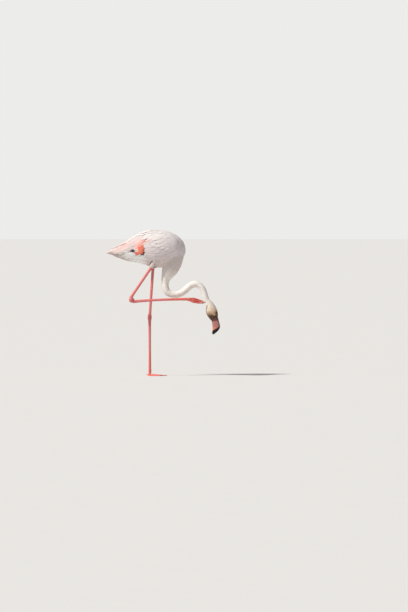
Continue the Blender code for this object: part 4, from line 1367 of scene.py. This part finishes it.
RANDOM = np.random.default_rng(WING_SEED)
tertials, coverts, scapulars = Coat("tertials"), Coat("coverts"), Coat("scapulars")
quills, down, tail = Coat("quills"), Coat("down"), Coat("tail_feathers")
for side, sign in SIDES.items():
    tuck = -0.05 * sign
    # x, z, degrees below level, length, width, share of the coat's depth
    rows = between((-0.150, 0.742, 24, 0.104, 0.020, 0.80), (-0.160, 0.697, 2, 0.088, 0.018, 0.66), 7)
    side_feathers(tail, rows, tinted(WHITE, PINK, np.full(7, 0.10)), sign, low=0.3, **ROUND)
    rows = between((-0.060, 0.722, 12, 0.055, 0.016, 0.72), (-0.006, 0.697, 10, 0.052, 0.013, 0.62), 4)
    side_feathers(quills, rows[[0, 2, 3]], QUILL, sign, **BLACK)
    rows = between((0.004, 0.699, 10, 0.056, 0.014, 0.80), (0.008, 0.704, 12, 0.056, 0.012, 0.80), 2)
    side_feathers(quills, rows, QUILL, sign, **BLACK)
    rows = between((-0.060, 0.700, 3, 0.120, 0.022, 0.62), (-0.085, 0.722, 9, 0.135, 0.022, 0.66), 4)
    # painted shade on the lowest long feathers
    side_feathers(tertials, rows, tinted(WHITE, UNDERSIDE_SHADE, np.full(4, 0.35)), sign, low=0.3, **BIG)
    rows = between((-0.070, 0.728, 12, 0.168, 0.021, 0.70), (0.006, 0.822, 26, 0.258, 0.024, 0.92), 19)
    side_feathers(tertials, rows, WHITE, sign, low=0.25, jitter=1.5, tilt=0.8 * tuck, paint=flushed,
                  lift=np.abs(RANDOM.normal(0, 0.0012, 19)), **{**BIG, "tip": 1.35, "tone": 0.035})
    rows = between((-0.050, 0.737, 22, 0.046, 0.012, 0.73), (-0.050, 0.745, 24, 0.046, 0.012, 0.75), 2)
    side_feathers(tertials, rows, WHITE, sign, low=0.4, **BIG)
    for first, last, shares in (
        ((-0.026, 0.711, 15, 0.064, 0.017, 0.77), (-0.012, 0.800, 32, 0.086, 0.020, 0.84), LONG_COVERTS),
        ((-0.028, 0.723, 24, 0.044, 0.017, 0.82), (-0.013, 0.788, 35, 0.062, 0.020, 0.89), SHORT_COVERTS),
    ):
        tint = tinted(WHITE, COVERT, np.array(shares))
        side_feathers(coverts, between(first, last, len(shares)), tint, sign, low=0.3, jitter=1.3, tilt=tuck,
                      **{**ROUND, "tone": 0.05})
    for k in range(7):
        first = (0.018 + 0.022 * k, 0.684 + 0.002 * k, 24, 0.056 - 0.003 * k, 0.022, 0.86 + 0.015 * k)
        last = (0.036 + 0.018 * k, 0.822 - 0.007 * k, 32, 0.106 - 0.008 * k, 0.024, 0.96 + 0.01 * k)
        rows = between(first, last, 12)
        if k < 2:
            rows[:, 0] += np.interp(np.arange(12), *WING_EDGE_CURVE) * (1 - 0.4 * k)
        ruffle = np.abs(RANDOM.normal(0, 0.0017, 12)) * (1 if k > 1 else 0.3)
        lean = np.linspace(1.4, 0.4, 12)[:, None, None] * tuck
        side_feathers(scapulars, rows, seen_markings(rows, 0.03, 0.02), sign, low=0.15, tilt=lean,
                      lift=ruffle, paint=flushed, **BIG)
    rows = between((0.172, 0.758, 32, 0.100, 0.026, 1.06), (0.070, 0.826, 35, 0.120, 0.026, 1.10), 9)
    lean = 3.6 * tuck * np.linspace(0, 1, BIG["stations"])[None, :, None]
    side_feathers(scapulars, rows, seen_markings(rows, 0.05, 0.03), sign, low=0.3, tilt=lean, lift=0.0015,
                  paint=flushed, **{**BIG, "tone": 0.03})
    for k in range(4):
        first = (-0.185 + 0.022 * k, 0.684 + 0.007 * k, 8, 0.034, 0.010, 1.0)
        rows = between(first, (-0.004, 0.655 + 0.010 * k, 36, 0.042, 0.014, 1.10), 30)
        # painted shade on the rearmost down
        tint = tinted(DOWN, UNDERSIDE_SHADE, 0.7 * (1 - smooth(rows[:, 0], -0.15, -0.09)))
        tint = mixed(tint, WHITE, 0.8 * smooth(rows[:, 0], -0.022, 0.004))
        side_feathers(down, rows, tint, sign, low=0.35, jitter=3.0, stations=10, across=5, widest=0.4,
                      tip=1.3, camber=0.02, ragged=0.16, tone=0.02, paint=painted_tail_shade)
    rows = between((-0.150, 0.701, 5, 0.088, 0.009, 0.90), (-0.100, 0.676, 12, 0.080, 0.010, 1.0), 12)
    # painted shade on the strands under the tail, darker by random amounts
    tint = tinted(UNDERSIDE_SHADE * 1.15, TAIL_SHADE, RANDOM.uniform(0, 0.6, 12))
    side_feathers(tail, rows, tint, sign, low=0.3, jitter=3.0, lift=RANDOM.uniform(0, 0.003, 12), **BIG)
    rows = between((-0.200, 0.727, 26, 0.047, 0.0105, 0.98), (-0.205, 0.701, 6, 0.043, 0.0095, 0.90), 7)
    side_feathers(tail, rows, WHITE, sign, low=0.3, lift=RANDOM.uniform(0, 0.001, 7), **BIG)
for coat in (tertials, coverts, scapulars, quills, down, tail):
    coat.objects()


# ---------------------------------------------------------------- bill, eyes and claws
NOSTRIL, NOSTRIL_LENGTH, NOSTRIL_DEPTH = (0.139, 0.0098), 0.0085, 0.0011  # the first along and up
GROOVE_DEPTH = 0.0006


def mandible(name, is_upper):
    """One half of the bill, finer than its solid, with its ridge, groove and nostril."""
    rows = spline(numbered(BILL))
    steps, count = 110, 52
    groove_at, shape, apart = (0.30, 0.95, 0.0002) if is_upper else (0.22, 0.62, -0.0002)
    rings = []
    for i in range(steps + 1):
        cu, cv, gu, gv, ku, kv, upper, lower = rows(i * (len(BILL) - 1) / steps)[0]
        depth = unit(np.array([cu - ku, cv - kv]))
        far = np.array([cu, cv]) if is_upper else np.array([ku, kv])
        near = np.array([gu, gv]) + depth * apart
        half = upper if is_upper else lower
        ring = []
        for j in range(count + 1):
            a = math.pi * j / count
            rise = max(math.sin(a), 0.0) ** shape
            groove = GROOVE_DEPTH * math.exp(-(((rise - groove_at) / 0.06) ** 2))
            groove *= smooth(i / steps, 0.02, 0.10) * (1 - smooth(i / steps, 0.70, 0.85))
            place = near + (far - near) * rise
            slit = ((place[0] - NOSTRIL[0]) / NOSTRIL_LENGTH) ** 2 + ((place[1] - NOSTRIL[1]) / 0.0013) ** 2
            groove += NOSTRIL_DEPTH * math.exp(-(slit**2)) * is_upper
            ring.append(in_head(place[0], place[1], (half - groove) * math.cos(a)))
        rings.append(ring)
    mesh = softened(tube_mesh(name, np.array(rings)))
    mesh.set_sharp_from_angle(angle=math.radians(50))
    return mesh


BILL_PINK = np.array([0.41, 0.178, 0.155])
BILL_RED = np.array([0.36, 0.085, 0.080])
# painted shade where the bill meets the face
BILL_BASE_SHADE = np.array([0.100, 0.036, 0.031])
# painted highlight: orange on the lower mandible beside the black tip
BILL_ORANGE_HIGHLIGHT = np.array([0.78, 0.235, 0.105])
TIP_EDGE = 0.1703


def bill_colours(mesh):
    along, up, _ = head_coordinates(vertices(mesh))
    base, dark = along - 0.175 * up, along + 0.157 * up
    colour = tinted(BILL_PINK, BILL_RED, 0.7 * (1 - smooth(base, 0.124, 0.138)))
    # painted shade at the bill's base
    colour = mixed(colour, BILL_BASE_SHADE, 0.9 * (1 - smooth(base, 0.1260, 0.1335)))
    tip = mesh.attributes.new("Tip", "FLOAT", "POINT")
    tip.data.foreach_set("value", (dark - TIP_EDGE).astype(np.float32))
    # painted highlight on the lower mandible beside the black tip
    colour = mixed(colour, BILL_ORANGE_HIGHLIGHT, 0.55 * smooth(dark, 0.148, 0.164) * smooth(-up, 0.004, 0.016))
    colour = mixed(colour, BILL_RED, 0.45 * smooth(dark, 0.1655, 0.1702))
    # painted shade in the nostril's slit
    nostril = ((along - NOSTRIL[0]) / NOSTRIL_LENGTH) ** 2 + ((up - NOSTRIL[1]) / 0.0011) ** 2
    return mixed(colour, BILL_RED * 0.35, 0.9 * np.exp(-(nostril**2)))


for half in ("upper", "lower"):
    mesh = mandible("mandible_" + half, half == "upper")
    add_colours(mesh, bill_colours(mesh))
    obj = add_object("mandible_" + half, mesh, HORN)
    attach(obj, BODY)
    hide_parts("bill_" + half)

IRIS = plain_material("iris", (0.72, 0.52, 0.16), roughness=0.15, scale=700.0, low=0.6, high=1.2,
                      depth=0.00005, coat=True)
PUPIL = plain_material("pupil", (0.006, 0.005, 0.005), roughness=0.06, scale=300.0, low=0.9,
                       depth=0.0, coat=True)
SCLERA = plain_material("sclera", (0.20, 0.13, 0.10), roughness=0.25, scale=500.0, coat=True)
PUPIL_EDGE, IRIS_EDGE = 0.27, 0.90  # radians from the middle of the eye
CORNEA_BULGE, CORNEA_SPREAD = 0.00045, 0.42  # how far it stands out, and over how many radians


def eyeball(name, sign):
    """The ball, with the cornea's bulge, the iris and the pupil facing outwards."""
    theta = np.concatenate([np.linspace(0.012, 0.9, 28), np.linspace(0.95, math.pi - 0.02, 20)])
    t, f = np.meshgrid(theta, circle(48), indexing="ij")
    r = EYE_RADIUS + CORNEA_BULGE * bell(t, 0, CORNEA_SPREAD)
    local = np.stack([r * np.sin(t) * np.cos(f), r * np.sin(t) * np.sin(f), r * np.cos(t) * sign], -1)
    ball = np.array(in_head(EYE_ALONG, EYE_UP, sign * EYE_OUT))
    points = ball + local[..., :1] * np.array(HEAD_AXIS) + local[..., 1:2] * np.array(HEAD_UP)
    mesh = softened(tube_mesh(name, points + local[..., 2:] * np.array([0, 1, 0])))
    d = read(mesh.polygons, "center", 3) - ball
    angle = np.arccos(np.clip(d[:, 1] * sign / np.linalg.norm(d, axis=1), -1, 1))
    obj = add_object(name, mesh, IRIS)
    mesh.materials.append(PUPIL)
    mesh.materials.append(SCLERA)
    index = np.where(angle < PUPIL_EDGE, 1, np.where(angle < IRIS_EDGE, 0, 2))
    mesh.polygons.foreach_set("material_index", index.astype(np.int32))
    return obj


CLAW = plain_material("claw", (0.045, 0.030, 0.028), roughness=0.35, scale=400.0, low=0.6, high=1.5)
for side, sign in SIDES.items():
    eye = eyeball("eyeball_" + side, sign)
    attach(eye, BODY)
    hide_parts("eye_" + side)
    obj = add_object("claws_" + side, claws(side), CLAW)
    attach(obj, BODY)
    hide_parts(*[f"claw_{side}_{toe}" for toe in TOE_LENGTH])

# ---------------------------------------------------------------- floor, light and camera
FLOOR = 60  # half its side
corners = FLOOR * np.array([(-1, -1, 0), (1, -1, 0), (1, 1, 0), (-1, 1, 0)])
STONE = plain_material("floor", (0.74, 0.73, 0.715), roughness=0.8, scale=3.0, low=0.985, high=1.01,
                       depth=0.0)
floor = add_object("floor", new_mesh("floor", corners, np.array([[0, 1, 2, 3]])), STONE)

world = bpy.data.worlds.new("studio")
bpy.context.scene.world = world
world.use_nodes = True
tree = world.node_tree
fill(tree, tree.nodes["Background"], Color=(0.90, 0.92, 0.95, 1), Strength=0.34)
wall = node(tree, "Background", Color=(0.84, 0.84, 0.83, 1))
seen = node(tree, "LightPath", "Is Camera Ray")
either = node(tree, "MixShader", _0=seen, _1=tree.nodes["Background"].outputs[0], _2=wall)
tree.links.new(either, tree.nodes["World Output"].inputs["Surface"])


def sun(name, source, strength, angle, colour):
    light = bpy.data.lights.new(name, "SUN")
    light.energy = strength
    light.angle = math.radians(angle)
    light.color = colour
    obj = bpy.data.objects.new(name, light)
    obj.rotation_mode = "QUATERNION"
    obj.rotation_quaternion = Vector(source).to_track_quat("Z", "Y")
    bpy.context.scene.collection.objects.link(obj)


sun("key", (-0.78, -0.46, 1.0), strength=3.6, angle=6, colour=(1.0, 0.97, 0.93))

camera_data = bpy.data.cameras.new("camera")
camera = bpy.data.objects.new("camera", camera_data)
bpy.context.scene.collection.objects.link(camera)
camera_data.sensor_width = 36.0
camera_data.lens = 495.4
camera_data.clip_end = 400.0
TARGET = Vector((0.3095, -0.020, 0.399))
DISTANCE, ELEVATION = 48.0, math.radians(1.2)
away = Vector((0, -math.cos(ELEVATION), math.sin(ELEVATION)))
camera.location = TARGET + away * DISTANCE
camera.rotation_mode = "QUATERNION"
camera.rotation_quaternion = away.to_track_quat("Z", "Y")
bpy.context.scene.camera = camera
bpy.context.scene.view_settings.view_transform = "Standard"
